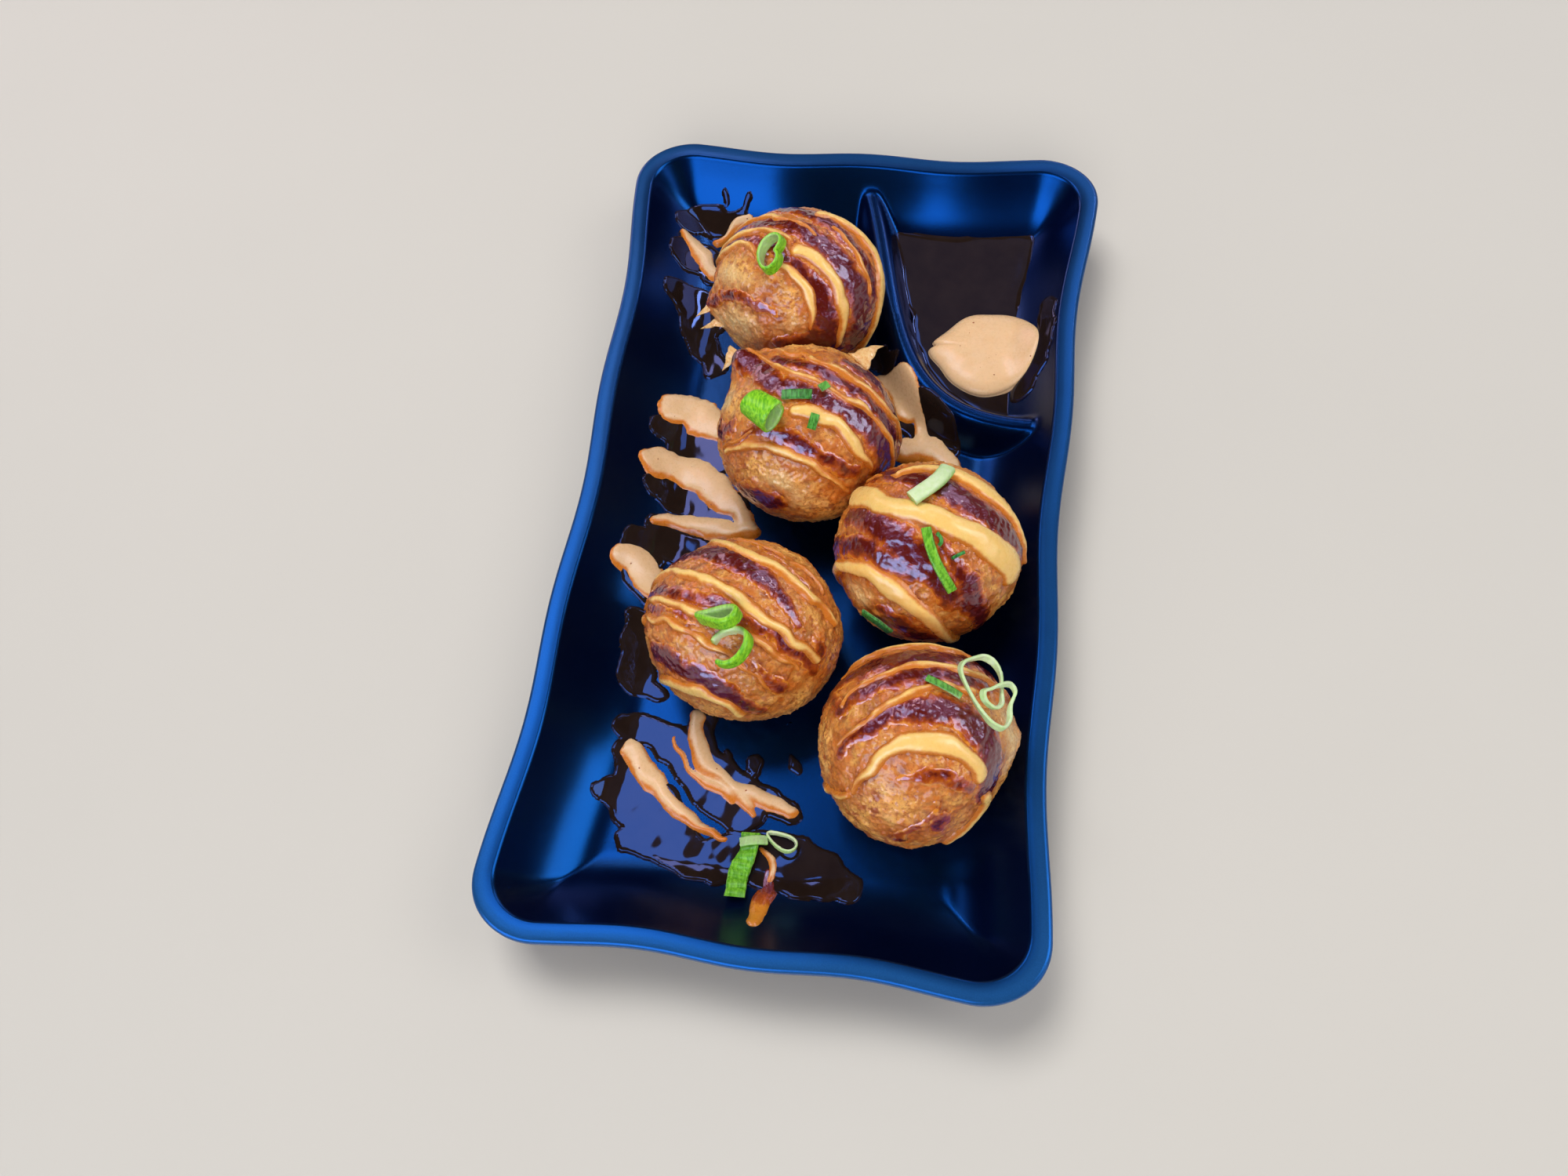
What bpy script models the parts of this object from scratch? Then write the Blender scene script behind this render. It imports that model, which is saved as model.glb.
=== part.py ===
"""Takoyaki on a wavy rectangular plate with a sauce well.

Five griddled batter balls stand on the plate's flat floor, a ridge closes off
one corner as a well that holds dark sauce and a blob of mayonnaise, and pieces
of spring onion lie on the balls and on the floor.

+Z is up and +Y runs along the plate, away from the diner. The origin is at the
middle of the plate's outline, on the surface that the plate stands on.
"""
import math

import bpy
import numpy as np
from mathutils import Vector
from mathutils.geometry import delaunay_2d_cdt

MM = 0.001

# ---- plate: driving sizes ------------------------------------------------
RIM_HEIGHT = 23.0 * MM          # top of the flat rim above the table
FLOOR_HEIGHT = 7.0 * MM         # flat eating floor above the table
HALF_WIDTH = 59.5 * MM          # mean half width between the corners
HALF_LENGTH = 109.6 * MM        # mean half length between the corners
SIDE_WAVE = 0.7 * MM            # the long sides swell and pinch by this much
SIDE_WAVE_PITCH = 62.0 * MM
END_WAVE = 0.65 * MM            # and the short ends by this much
END_WAVE_PITCH = 47.0 * MM
SIDE_FLARE = 4.5 * MM           # how far the corners flare out sideways
SIDE_FLARE_POWER = 2.4
END_FLARE = 4.0 * MM            # and lengthways
END_FLARE_POWER = 6.0
CORNER_RADIUS = 17.0 * MM
REACH_X = 63.5 * MM             # half size at the tips of the corners
REACH_Y = 111.0 * MM

RIM_BAND = 4.5 * MM             # width of the flat rim
RIM_EDGE = 0.8 * MM             # rounding of the rim's outer edge
LIP_THICKNESS = 3.4 * MM
WALL_THICKNESS = 3.0 * MM
BOWL_RUN = 20.0 * MM            # plan width of the curved wall
BOWL_POWER = 2.2                # steep under the rim, easing into the floor
BOWL_SHARES = (0.04, 0.14, 0.3, 0.5, 0.74, 0.87, 1.0)     # rings of points down the wall
FOOT_INSET = 24.0 * MM          # foot ring, measured in from the outline
FOOT_WIDTH = 3.0 * MM
UNDERSIDE_HEIGHT = 3.0 * MM     # underside of the floor above the table
OUTLINE_STEPS = 88
CORNER_CROWDING = 2.2           # points crowd this much closer at the corners
CORNER_REACH = 26.0 * MM
SPINE_HALF = 50.0 * MM          # the floor's rings close on this centre line

# ---- ridge round the sauce well ------------------------------------------
RIDGE_DROP = 6.0 * MM           # crest below the rim
RIDGE_CREST_HALF = 1.2 * MM     # half width of the rounded crest
RIDGE_FOOT_HALF = 7.0 * MM      # half width where it meets the floor
RIDGE_BEND = ((0.7, 105.0), (15.1, 65.9), (10.4, 26.6), (57.0, 31.7))   # crest, Bezier
RIDGE_STEPS = 24
RIDGE_MARGIN = 0.8 * MM         # the rows run on until the bowl stands this far above them
RIDGE_ROWS = (0.0, 1.2, 2.6, 4.1, 5.6, 7.0, 8.4)    # rows of points either side of the crest

# ---- sauce in the well ----------------------------------------------------
POOL_LEVEL = 9.6 * MM
WELL_CENTRE = (33.0 * MM, 68.0 * MM)
POOL_CLEARANCE = 0.95 * MM
MAYO_CENTRE = (37.6 * MM, 56.3 * MM)
MAYO_RADIUS = 12.6 * MM
MAYO_TIP = 3.2 * MM
MAYO_TIP_ANGLE = math.radians(183.0)
MAYO_LEAN = 0.9 * MM
MAYO_LEAN_ANGLE = math.radians(-50.0)
MAYO_SWELL = 0.9 * MM
MAYO_SWELL_ANGLE = math.radians(52.0)
MAYO_HEIGHT = 2.4 * MM

GAP = 0.3 * MM                  # left between pieces that touch
WELD_REACH = 0.5 * MM           # plan points of the plate closer than this are one
LINK_REACH = 0.9 * MM           # a run of plan points breaks off this close to others
SAME_POINT = 0.01 * MM
POOL_STEP = 0.5 * MM            # the pool's middle ring stands this far above half depth
POOL_FOOT = 1.05 * MM           # the pool's lowest ring is cut this far above the floor
MAYO_SHARES = (0.35, 0.75, 0.95, 1.0, 0.96, 0.6)   # rings of the blob, out to its edge and under it
MAYO_EDGE_RING = 3
MAYO_EDGE_RISE = 0.45 * MM
MAYO_CLEARANCE = 0.9 * MM       # between the blob and the well's wall

# ---- balls: centre on the floor, half sizes -------------------------------
BALLS = {
    "ball_1": {"at": (-11.6, 59.8), "half": (22.4, 21.2, 21.0), "seed": 11},
    "ball_2": {"at": (-3.4, 16.9), "half": (22.6, 21.8, 21.5), "seed": 22},
    "ball_3": {"at": (28.7, -11.4), "half": (22.0, 21.5, 21.0), "seed": 33},
    "ball_4": {"at": (-11.2, -35.7), "half": (23.2, 21.0, 21.3), "seed": 44},
    "ball_5": {"at": (31.5, -58.8), "half": (21.9, 22.7, 21.8), "seed": 55},
}
# Swellings on a ball: degrees east and north of its top, height, spread in degrees
BALL_BUMPS = {
    "ball_1": [(-80.0, -30.0, 2.2, 13.0)],
    "ball_2": [(-46.0, 34.0, 4.6, 11.0)],
    "ball_5": [(80.0, 8.0, 1.2, 9.0), (74.0, -42.0, -2.4, 34.0)],
}
BALL_SETTLE = 0.95              # a ball sinks on its flat spot by 5%
BALL_LUMP = 0.011               # size of the lumps, as a share of the radius
LUMP_WAVES = 9
PRESS_SHARPNESS = 26.0          # how crisp the flat spots' edges are
BALL_SEGMENTS = 28
BALL_RINGS = 15

# ---- spring onion ----------------------------------------------------------
RING_STEPS = 14
STRIP_STEPS = 6
# The leaf's middle line: right, away and above the floor
LEAF_SPOTS = ((-5.2, -79.0, 2.0), (-5.6, -84.0, 2.4), (-6.2, -89.0, 2.8), (-6.6, -93.6, 4.6))

COLOURS = {
    "plate": ((0.010, 0.030, 0.110), 0.38),
    "batter": ((0.640, 0.330, 0.100), 0.55),
    "sauce": ((0.045, 0.016, 0.008), 0.10),
    "mayo": ((0.840, 0.490, 0.230), 0.30),
    "onion": ((0.250, 0.520, 0.080), 0.40),
}


def clear_scene():
    """Remove whatever the open file holds."""
    for thing in list(bpy.data.objects):
        bpy.data.objects.remove(thing, do_unlink=True)


def make_material(name):
    """A Principled material in one of the object's colours."""
    colour, roughness = COLOURS[name]
    material = bpy.data.materials.new(name)
    material.use_nodes = True
    shader = material.node_tree.nodes["Principled BSDF"]
    shader.inputs["Base Color"].default_value = (*colour, 1.0)
    shader.inputs["Roughness"].default_value = roughness
    shader.inputs["Metallic"].default_value = 0.0
    return material


def add_object(name, points, faces, material):
    """A named object from vertices and outward faces."""
    mesh = bpy.data.meshes.new(name)
    mesh.from_pydata([tuple(p) for p in points], [], [tuple(f) for f in faces])
    mesh.validate()
    mesh.update()
    mesh.materials.append(material)
    mesh.shade_smooth()
    mesh.set_sharp_from_angle(angle=math.radians(40.0))
    thing = bpy.data.objects.new(name, mesh)
    bpy.context.scene.collection.objects.link(thing)
    return thing


# ---- the plate's surface as a function of place ----------------------------
def inset(x, y):
    """How far (x, y) lies inside the plate's wavy outline; below 0 is outside."""
    side = HALF_WIDTH - SIDE_WAVE * np.cos(2.0 * np.pi * y / SIDE_WAVE_PITCH)
    side = side + SIDE_FLARE * np.abs(y / REACH_Y) ** SIDE_FLARE_POWER
    end = HALF_LENGTH + END_WAVE * np.cos(2.0 * np.pi * x / END_WAVE_PITCH)
    end = end + END_FLARE * np.abs(x / REACH_X) ** END_FLARE_POWER
    a = np.abs(x) - side + CORNER_RADIUS
    b = np.abs(y) - end + CORNER_RADIUS
    straight = np.minimum(np.maximum(a, b), 0.0)
    rounded = np.hypot(np.maximum(a, 0.0), np.maximum(b, 0.0))
    return CORNER_RADIUS - straight - rounded


def bowl_height(depth_in):
    """Height of the curved wall and floor, for an inset from the outline."""
    run = np.clip((depth_in - RIM_BAND) / BOWL_RUN, 0.0, 1.0)
    drop = RIM_HEIGHT - FLOOR_HEIGHT
    return RIM_HEIGHT - drop * (1.0 - (1.0 - run) ** BOWL_POWER)


def ridge_path(steps):
    """Plan points of the ridge's crest: a Bezier from the far wall to the side wall."""
    start, leave, turn, end = np.array(RIDGE_BEND) * MM
    t = np.linspace(0.0, 1.0, steps)[:, None]
    bend = (1.0 - t) ** 3 * start + 3.0 * (1.0 - t) ** 2 * t * leave
    return bend + 3.0 * (1.0 - t) * t ** 2 * turn + t ** 3 * end


def ridge_profile(offset):
    """Height of the ridge at a distance from its crest line."""
    crest = RIM_HEIGHT - RIDGE_DROP
    slope = np.clip((np.abs(offset) - RIDGE_CREST_HALF) / (RIDGE_FOOT_HALF - RIDGE_CREST_HALF), 0.0, 1.0)
    return FLOOR_HEIGHT + (crest - FLOOR_HEIGHT) * 0.5 * (1.0 + np.cos(np.pi * slope))


RIDGE_LINE = ridge_path(200)


def ridge_distance(x, y):
    """Distance in plan from (x, y) to the ridge's crest line."""
    return float(np.min(np.hypot(RIDGE_LINE[:, 0] - x, RIDGE_LINE[:, 1] - y)))


def tray_height(x, y):
    """Height of the plate's upper face, ridge included."""
    return max(float(bowl_height(inset(x, y))), float(ridge_profile(ridge_distance(x, y))))


# ---- plate -----------------------------------------------------------------
def spine_point(y):
    """The point of the centre line that a ring's ray starts from."""
    return np.array([0.0, min(max(y, -SPINE_HALF), SPINE_HALF)])


def outline_points():
    """Points on the outline, anticlockwise from +X, closer together at the corners."""
    fine = 1440
    turn = np.linspace(0.0, 2.0 * np.pi, fine, endpoint=False)
    dense = []
    for angle in turn:
        aim = np.array([1.5 * REACH_X * np.cos(angle), 1.4 * REACH_Y * np.sin(angle)])
        dense.append(ray_to_inset(spine_point(aim[1]), aim, 0.0))
    dense = np.array(dense + dense[:1])
    from_corner = np.hypot(np.abs(dense[1:, 0]) - REACH_X, np.abs(dense[1:, 1]) - REACH_Y)
    crowd = 1.0 + CORNER_CROWDING * np.exp(-(from_corner / CORNER_REACH) ** 2)
    steps = np.linalg.norm(np.diff(dense, axis=0), axis=1) * crowd
    travelled = np.concatenate([[0.0], np.cumsum(steps)])
    wanted = np.linspace(0.0, travelled[-1], OUTLINE_STEPS, endpoint=False)
    return np.column_stack([np.interp(wanted, travelled, dense[:, k]) for k in (0, 1)])


def ray_to_inset(start, aim, wanted):
    """The point between start and aim whose inset is the wanted one."""
    near, far = 0.0, 1.0
    for _ in range(40):
        middle = 0.5 * (near + far)
        x, y = start + (aim - start) * middle
        if inset(x, y) > wanted:
            near = middle
        else:
            far = middle
    return start + (aim - start) * near


def ring_at(edge, inner):
    """The outline's points moved in towards the spine, to an inset."""
    return [ray_to_inset(spine_point(corner[1]), corner, inner) for corner in edge]


def ridge_over_bowl(point):
    """How far the ridge stands above the bowl's surface at a plan point."""
    x, y = point
    return float(ridge_profile(ridge_distance(x, y)) - bowl_height(inset(x, y)))


def crossing(first, second):
    """The point between two plan points where the ridge runs out into the bowl."""
    before, after = ridge_over_bowl(first), ridge_over_bowl(second)
    return first + (second - first) * (before / (before - after))


def ridge_points():
    """Plan points in rows along the ridge, wherever it stands clear of the wall."""
    line = ridge_path(RIDGE_STEPS)
    heading = np.gradient(line, axis=0)
    heading /= np.linalg.norm(heading, axis=1)[:, None]
    across = np.column_stack([-heading[:, 1], heading[:, 0]])
    kept = []
    for row in sorted({side * row for row in RIDGE_ROWS for side in (-1.0, 1.0)}):
        points = line + across * row * MM
        above = [ridge_over_bowl(point) for point in points]
        for k, point in enumerate(points):
            if above[k] > -RIDGE_MARGIN:
                kept.append(point)
            if k and above[k] * above[k - 1] < 0.0:
                kept.append(crossing(points[k - 1], point))
    return kept


def bowl_runs(edge):
    """Runs of plan points round the wall at several insets, broken where the ridge covers it."""
    runs = []
    for inner in [RIM_BAND - 0.5 * MM] + [RIM_BAND + BOWL_RUN * share for share in BOWL_SHARES]:
        ring = ring_at(edge, inner)
        ring.append(ring[0])
        run = []
        for k, point in enumerate(ring):
            buried = ridge_over_bowl(point) > 0.0
            if k and buried != (ridge_over_bowl(ring[k - 1]) > 0.0):
                run.append(crossing(ring[k - 1], point))
                if buried:
                    runs.append(run)
                    run = []
            if not buried:
                run.append(point)
        runs.append(run)
    return runs


def nearest(plan, point):
    """Index of the nearest of some plan points, and how far away it is."""
    away = np.hypot(*(np.array(plan) - point).T)
    return int(np.argmin(away)), float(np.min(away))


def triangulate(plan, around, links):
    """Triangles between plan points that keep the links, inside the loop of the first ones."""
    flat = [Vector((float(x), float(y))) for x, y in plan]
    _, _, faces, source, _, _ = delaunay_2d_cdt(flat, links, [list(range(around))], 1, 1e-7)
    return [tuple(source[k][0] for k in face) for face in faces]


def upper_face(edge):
    """The plate's whole upper face as points and triangles; its first points are the outer ring."""
    plan = ring_at(edge, RIM_EDGE)
    for point in ridge_points():
        if nearest(plan, point)[1] > WELD_REACH:
            plan.append(point)
    links = []
    for run in bowl_runs(edge):
        last = None
        for point in run:
            place, away = nearest(plan, point)
            if away > LINK_REACH:
                place = len(plan)
                plan.append(point)
            elif away > SAME_POINT:
                place = None
            if last is not None and place is not None:
                links.append((last, place))
            last = place
    points = [(x, y, tray_height(x, y)) for x, y in plan]
    return points, triangulate(plan, len(edge), links)


def under_rings():
    """Insets and heights of the rings from the rim's outer edge down to the foot and floor."""
    rings = [(0.0, RIM_HEIGHT - RIM_EDGE)]
    rings.append((0.0, RIM_HEIGHT - LIP_THICKNESS + RIM_EDGE))
    rings.append((RIM_EDGE, RIM_HEIGHT - LIP_THICKNESS))
    rings.append((RIM_BAND, RIM_HEIGHT - LIP_THICKNESS - 0.6 * MM))
    for share in (0.16, 0.4, 0.7):
        inner = RIM_BAND + BOWL_RUN * share
        height = bowl_height(inner + 0.5 * WALL_THICKNESS) - 0.75 * WALL_THICKNESS
        rings.append((inner, max(height, UNDERSIDE_HEIGHT + 0.4 * MM)))
    rings.append((FOOT_INSET - 1.0 * MM, UNDERSIDE_HEIGHT))
    rings.append((FOOT_INSET, 0.0))
    rings.append((FOOT_INSET + FOOT_WIDTH, 0.0))
    rings.append((FOOT_INSET + FOOT_WIDTH + 1.0 * MM, UNDERSIDE_HEIGHT))
    return rings


def make_plate(material):
    """The wavy plate: floor with its ridge, curved wall, flat rim, underside and foot ring."""
    edge = outline_points()
    count = len(edge)
    points, faces = upper_face(edge)
    above = list(range(count))
    for inner, height in under_rings():
        ring = ring_at(edge, inner) if inner > 0.0 else edge
        below = list(range(len(points), len(points) + count))
        points += [(x, y, height) for x, y in ring]
        for step in range(count):
            ahead = (step + 1) % count
            faces.append((above[step], below[step], below[ahead], above[ahead]))
        above = below
    floor = triangulate([points[k][:2] for k in above], count, [])
    faces += [tuple(above[k] for k in reversed(face)) for face in floor]
    return add_object("plate", points, faces, material)


# ---- sauce and mayonnaise in the well ---------------------------------------
def well_radius(angle, level):
    """How far the plate stays below a level, going out from the well's middle."""
    reach = 0.0
    step = 0.25 * MM
    cx, cy = WELL_CENTRE
    while tray_height(cx + reach * math.cos(angle), cy + reach * math.sin(angle)) < level:
        reach += step
    return reach - POOL_CLEARANCE


def make_pool(material):
    """Dark sauce filling the well up to its level."""
    count = 40
    levels = (POOL_LEVEL, 0.5 * (POOL_LEVEL + FLOOR_HEIGHT) + POOL_STEP, FLOOR_HEIGHT + POOL_FOOT)
    heights = (levels[0], levels[1], FLOOR_HEIGHT + GAP)
    points = []
    for level, height in zip(levels, heights):
        for k in range(count):
            angle = 2.0 * math.pi * k / count
            reach = well_radius(angle, level - POOL_CLEARANCE)
            points.append((WELL_CENTRE[0] + reach * math.cos(angle),
                           WELL_CENTRE[1] + reach * math.sin(angle), height))
    return lathe_like("sauce_pool", points, count, material)


def lathe_like(name, points, count, material):
    """A solid from rings listed top to bottom, closed by a fan at either end."""
    rings = len(points) // count
    faces = []
    for ring in range(rings - 1):
        for k in range(count):
            ahead = (k + 1) % count
            a, b = ring * count + k, ring * count + ahead
            faces.append((a, a + count, b + count, b))
    for first, upward in ((0, True), ((rings - 1) * count, False)):
        loop = points[first:first + count]
        middle = tuple(sum(p[axis] for p in loop) / count for axis in range(3))
        points.append(middle)
        hub = len(points) - 1
        for k in range(count):
            ahead = (k + 1) % count
            face = (first + k, first + ahead, hub)
            faces.append(face if upward else tuple(reversed(face)))
    return add_object(name, points, faces, material)


def mayo_edge(angle):
    """Radius of the blob's outline: drawn to a tip on one side, fuller to the front and to the far right."""
    away = math.atan2(math.sin(angle - MAYO_TIP_ANGLE), math.cos(angle - MAYO_TIP_ANGLE))
    by_side = math.atan2(math.sin(angle - MAYO_SWELL_ANGLE), math.cos(angle - MAYO_SWELL_ANGLE))
    return (MAYO_RADIUS + MAYO_TIP * math.exp(-(away / 0.33) ** 2)
            + MAYO_LEAN * math.cos(angle - MAYO_LEAN_ANGLE) + MAYO_SWELL * math.exp(-(by_side / 0.45) ** 2))


def make_mayo(material):
    """The blob of mayonnaise, lying on the pool and leaning on the well's wall."""
    count = 32
    points = []
    for row, share in enumerate(MAYO_SHARES):
        for k in range(count):
            angle = 2.0 * math.pi * k / count
            reach = mayo_edge(angle) * share
            x = MAYO_CENTRE[0] + reach * math.cos(angle)
            y = MAYO_CENTRE[1] + reach * math.sin(angle)
            base = max(POOL_LEVEL + GAP, tray_height(x, y) + MAYO_CLEARANCE)
            rise = MAYO_HEIGHT * math.sqrt(max(0.0, 1.0 - share ** 4))
            if row == MAYO_EDGE_RING:
                rise = MAYO_EDGE_RISE
            if row > MAYO_EDGE_RING:
                rise = 0.0
            points.append((x, y, base + rise))
    return lathe_like("mayo_blob", points, count, material)


# ---- balls -------------------------------------------------------------------
def top_direction(east, north):
    """Unit direction for degrees east and north of a ball's top."""
    polar = math.radians(math.hypot(east, north))
    turn = math.atan2(north, east)
    return np.array([math.sin(polar) * math.cos(turn), math.sin(polar) * math.sin(turn), math.cos(polar)])


def ball_centre(name):
    """Middle of a ball, which stands on the floor on its flat spot."""
    x, y = BALLS[name]["at"]
    return np.array([x, y, BALLS[name]["half"][2] * BALL_SETTLE]) * MM + (0.0, 0.0, FLOOR_HEIGHT)


def ball_presses(name):
    """Planes that press a ball flat, as (outward direction, distance from its centre)."""
    here = ball_centre(name)
    planes = [(np.array([0.0, 0.0, -1.0]), here[2] - FLOOR_HEIGHT - GAP)]
    for other in BALLS:
        if other == name:
            continue
        between = ball_centre(other) - here
        distance = float(np.linalg.norm(between))
        if distance < 47.0 * MM:
            planes.append((between / distance, 0.5 * distance - 0.6 * GAP))
    return planes


def ball_surface(name, direction):
    """A ball's surface point in a unit direction: an uneven, settled sphere."""
    ball = BALLS[name]
    rng = np.random.RandomState(ball["seed"])
    axes = rng.normal(size=(LUMP_WAVES, 3)) * 2.2
    phases = rng.uniform(0.0, 2.0 * np.pi, LUMP_WAVES)
    swell = 1.0 + BALL_LUMP * float(np.mean(np.sin(axes @ direction + phases))) * math.sqrt(LUMP_WAVES)
    place = np.array(ball["half"]) * MM * direction * swell
    for east, north, height, spread in BALL_BUMPS.get(name, []):
        apart = math.degrees(math.acos(max(-1.0, min(1.0, float(direction @ top_direction(east, north))))))
        place = place + direction * height * MM * math.exp(-(apart / spread) ** 2)
    for outward, limit in ball_presses(name):
        push = float(place @ outward) / limit
        if push > 0.0:
            place = place / (1.0 + push ** PRESS_SHARPNESS) ** (1.0 / PRESS_SHARPNESS)
    return ball_centre(name) + place


def make_ball(name, material):
    """One batter ball as a closed skin of latitude rings."""
    points = []
    for ring in range(1, BALL_RINGS):
        polar = math.pi * ring / BALL_RINGS
        for k in range(BALL_SEGMENTS):
            turn = 2.0 * math.pi * k / BALL_SEGMENTS
            direction = np.array([math.sin(polar) * math.cos(turn), math.sin(polar) * math.sin(turn),
                                  math.cos(polar)])
            points.append(tuple(ball_surface(name, direction)))
    faces = []
    for ring in range(BALL_RINGS - 2):
        for k in range(BALL_SEGMENTS):
            ahead = (k + 1) % BALL_SEGMENTS
            a, b = ring * BALL_SEGMENTS + k, ring * BALL_SEGMENTS + ahead
            faces.append((a, a + BALL_SEGMENTS, b + BALL_SEGMENTS, b))
    last = (BALL_RINGS - 2) * BALL_SEGMENTS
    for first, height in ((0, 1.0), (last, -1.0)):
        points.append(tuple(ball_surface(name, np.array([0.0, 0.0, height]))))
        hub = len(points) - 1
        for k in range(BALL_SEGMENTS):
            ahead = (k + 1) % BALL_SEGMENTS
            face = (first + k, first + ahead, hub)
            faces.append(face if height > 0.0 else tuple(reversed(face)))
    return add_object(name, points, faces, material)


# ---- spring onion --------------------------------------------------------------
def make_band(name, path, across, width, thickness, closed, material):
    """A flat band of onion that follows a path, width along across, closed or capped."""
    count = len(path)
    points = []
    for k in range(count):
        before = path[k - 1] if closed or k > 0 else path[k]
        after = path[(k + 1) % count] if closed or k < count - 1 else path[k]
        heading = (after - before) / np.linalg.norm(after - before)
        side = across[k] - heading * float(across[k] @ heading)
        side = side / np.linalg.norm(side)
        face_out = np.cross(side, heading)
        for a, b in ((-1.0, -1.0), (1.0, -1.0), (1.0, 1.0), (-1.0, 1.0)):
            points.append(path[k] + side * (0.5 * width * a) + face_out * (0.5 * thickness * b))
    faces = []
    for k in range(count if closed else count - 1):
        here, there = 4 * k, 4 * ((k + 1) % count)
        for corner in range(4):
            ahead = (corner + 1) % 4
            faces.append((here + corner, there + corner, there + ahead, here + ahead))
    if not closed:
        end = 4 * (count - 1)
        faces.append((0, 1, 2, 3))
        faces.append((end + 3, end + 2, end + 1, end))
    return add_object(name, points, faces, material)


def frame_on(axis, first):
    """Two unit directions square to an axis, the first near a given one."""
    axis = axis / np.linalg.norm(axis)
    u = first - axis * float(first @ axis)
    u = u / np.linalg.norm(u)
    return axis, u, np.cross(axis, u)


def make_ring(name, centre, axis, first, radii, width, thickness, material, squash=0.0, turns=None):
    """An oval slice of the onion's tube, pressed flat towards one end, or an open arc of one."""
    axis, u, v = frame_on(axis, first)
    start, end = turns or (0.0, 360.0)
    path = []
    for k in range(RING_STEPS):
        turn = math.radians(start + (end - start) * k / RING_STEPS)
        flat = 1.0 - squash * (0.5 - 0.5 * math.cos(turn)) ** 0.8
        path.append(centre + (u * radii[0] * math.cos(turn) + v * radii[1] * math.sin(turn) * flat) * MM)
    return make_band(name, path, [axis] * RING_STEPS, width * MM, thickness * MM, turns is None, material)


def strip_over_ball(ball, start, end, lift, count):
    """Points that lie a little above a ball, from one place to another, and the way up."""
    path, ups = [], []
    for k in range(count):
        share = k / (count - 1)
        east = start[0] + (end[0] - start[0]) * share
        north = start[1] + (end[1] - start[1]) * share
        direction = top_direction(east, north)
        path.append(ball_surface(ball, direction) + direction * lift)
        ups.append(direction)
    return path, ups


def make_strip(name, ball, start, end, lift, width, thickness, material):
    """An open strip of onion lying along a ball."""
    path, ups = strip_over_ball(ball, start, end, lift * MM, STRIP_STEPS)
    along = path[-1] - path[0]
    across = [np.cross(up, along) for up in ups]
    return make_band(name, path, across, width * MM, thickness * MM, False, material)


def over_ball(ball, east, north, lift):
    """The way up at a place on a ball, and the point that far above it."""
    place = top_direction(east, north)
    return place, ball_surface(ball, place) + place * lift * MM


def make_onions(material):
    """All the spring onion pieces, one object each; sizes in millimetres, places in degrees."""
    up = np.array([0.0, 0.0, 1.0])
    east = np.array([1.0, 0.0, 0.0])
    north = np.array([0.0, 1.0, 0.0])

    place, centre = over_ball("ball_1", -9.0, -15.0, 3.4)
    axis = place + 0.35 * up - 0.45 * east + 0.2 * north
    make_ring("onion_ring_1", centre, axis, north, (4.7, 3.3), 3.2, 1.0, material)

    place, centre = over_ball("ball_2", -17.0, -17.0, 4.6)
    axis = 0.8 * east - 0.6 * north + 0.2 * up
    make_ring("onion_tube_2", centre, axis, up, (2.6, 3.5), 8.0, 1.0, material)
    make_strip("onion_strip_2", "ball_2", (-6.5, -6.0), (7.0, -5.0), 1.2, 2.5, 0.8, material)

    make_strip("onion_strip_3a", "ball_3", (8.0, 29.0), (-9.0, 4.0), 2.0, 3.8, 2.0, material)
    make_strip("onion_strip_3b", "ball_3", (0.0, -12.0), (19.0, -45.0), 1.3, 2.3, 0.9, material)
    make_strip("onion_chip_3c", "ball_3", (-46.0, -67.0), (-24.0, -83.0), 1.3, 2.4, 0.8, material)

    place, centre = over_ball("ball_4", -4.0, -16.0, 4.1)
    axis = place + 0.75 * north - 0.5 * east
    make_ring("onion_ring_4a", centre, axis, east - 0.3 * north, (4.9, 2.9), 3.2, 1.2, material, squash=0.6)
    place, centre = over_ball("ball_4", 3.0, -33.0, 4.1)
    axis = place + 0.6 * north - 0.4 * east
    make_ring("onion_ring_4b", centre, axis, east, (4.2, 3.4), 2.8, 1.1, material, turns=(-115.0, 165.0))

    place, centre = over_ball("ball_5", 33.0, 14.0, 4.0)
    make_ring("onion_ring_5", centre, place + 0.2 * up, north - 0.2 * east, (8.4, 5.0), 1.8, 0.9, material)
    make_strip("onion_tail_5", "ball_5", (2.0, 20.0), (21.0, 13.0), 1.1, 1.7, 0.8, material)

    floor = np.array([0.0, 0.0, FLOOR_HEIGHT])
    leaf = [floor + np.array(spot) * MM for spot in LEAF_SPOTS]
    make_band("onion_leaf_6", leaf, [east] * len(leaf), 5.4 * MM, 1.6 * MM, False, material)
    centre = floor + np.array([2.4, -79.6, 2.8]) * MM
    make_ring("onion_ring_7", centre, up + 0.5 * north, east - 0.6 * north, (3.6, 2.6), 1.4, 0.7, material,
              squash=0.4)


def main():
    clear_scene()
    materials = {name: make_material(name) for name in COLOURS}
    make_plate(materials["plate"])
    make_pool(materials["sauce"])
    make_mayo(materials["mayo"])
    for name in BALLS:
        make_ball(name, materials["batter"])
    make_onions(materials["onion"])


main()
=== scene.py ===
"""Looks of a plate of takoyaki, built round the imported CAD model.

The plate, the pool and every food piece are remade as smooth meshes from the
same named sizes as the CAD. Ribbons of mayonnaise and bands of glaze are
closed skins that lie on the balls and on the plate. Sizes are in metres, and
the places on a ball are degrees east and north of its top.
"""

import math

import bmesh
import bpy
import numpy as np
from mathutils import Matrix, Vector


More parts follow.
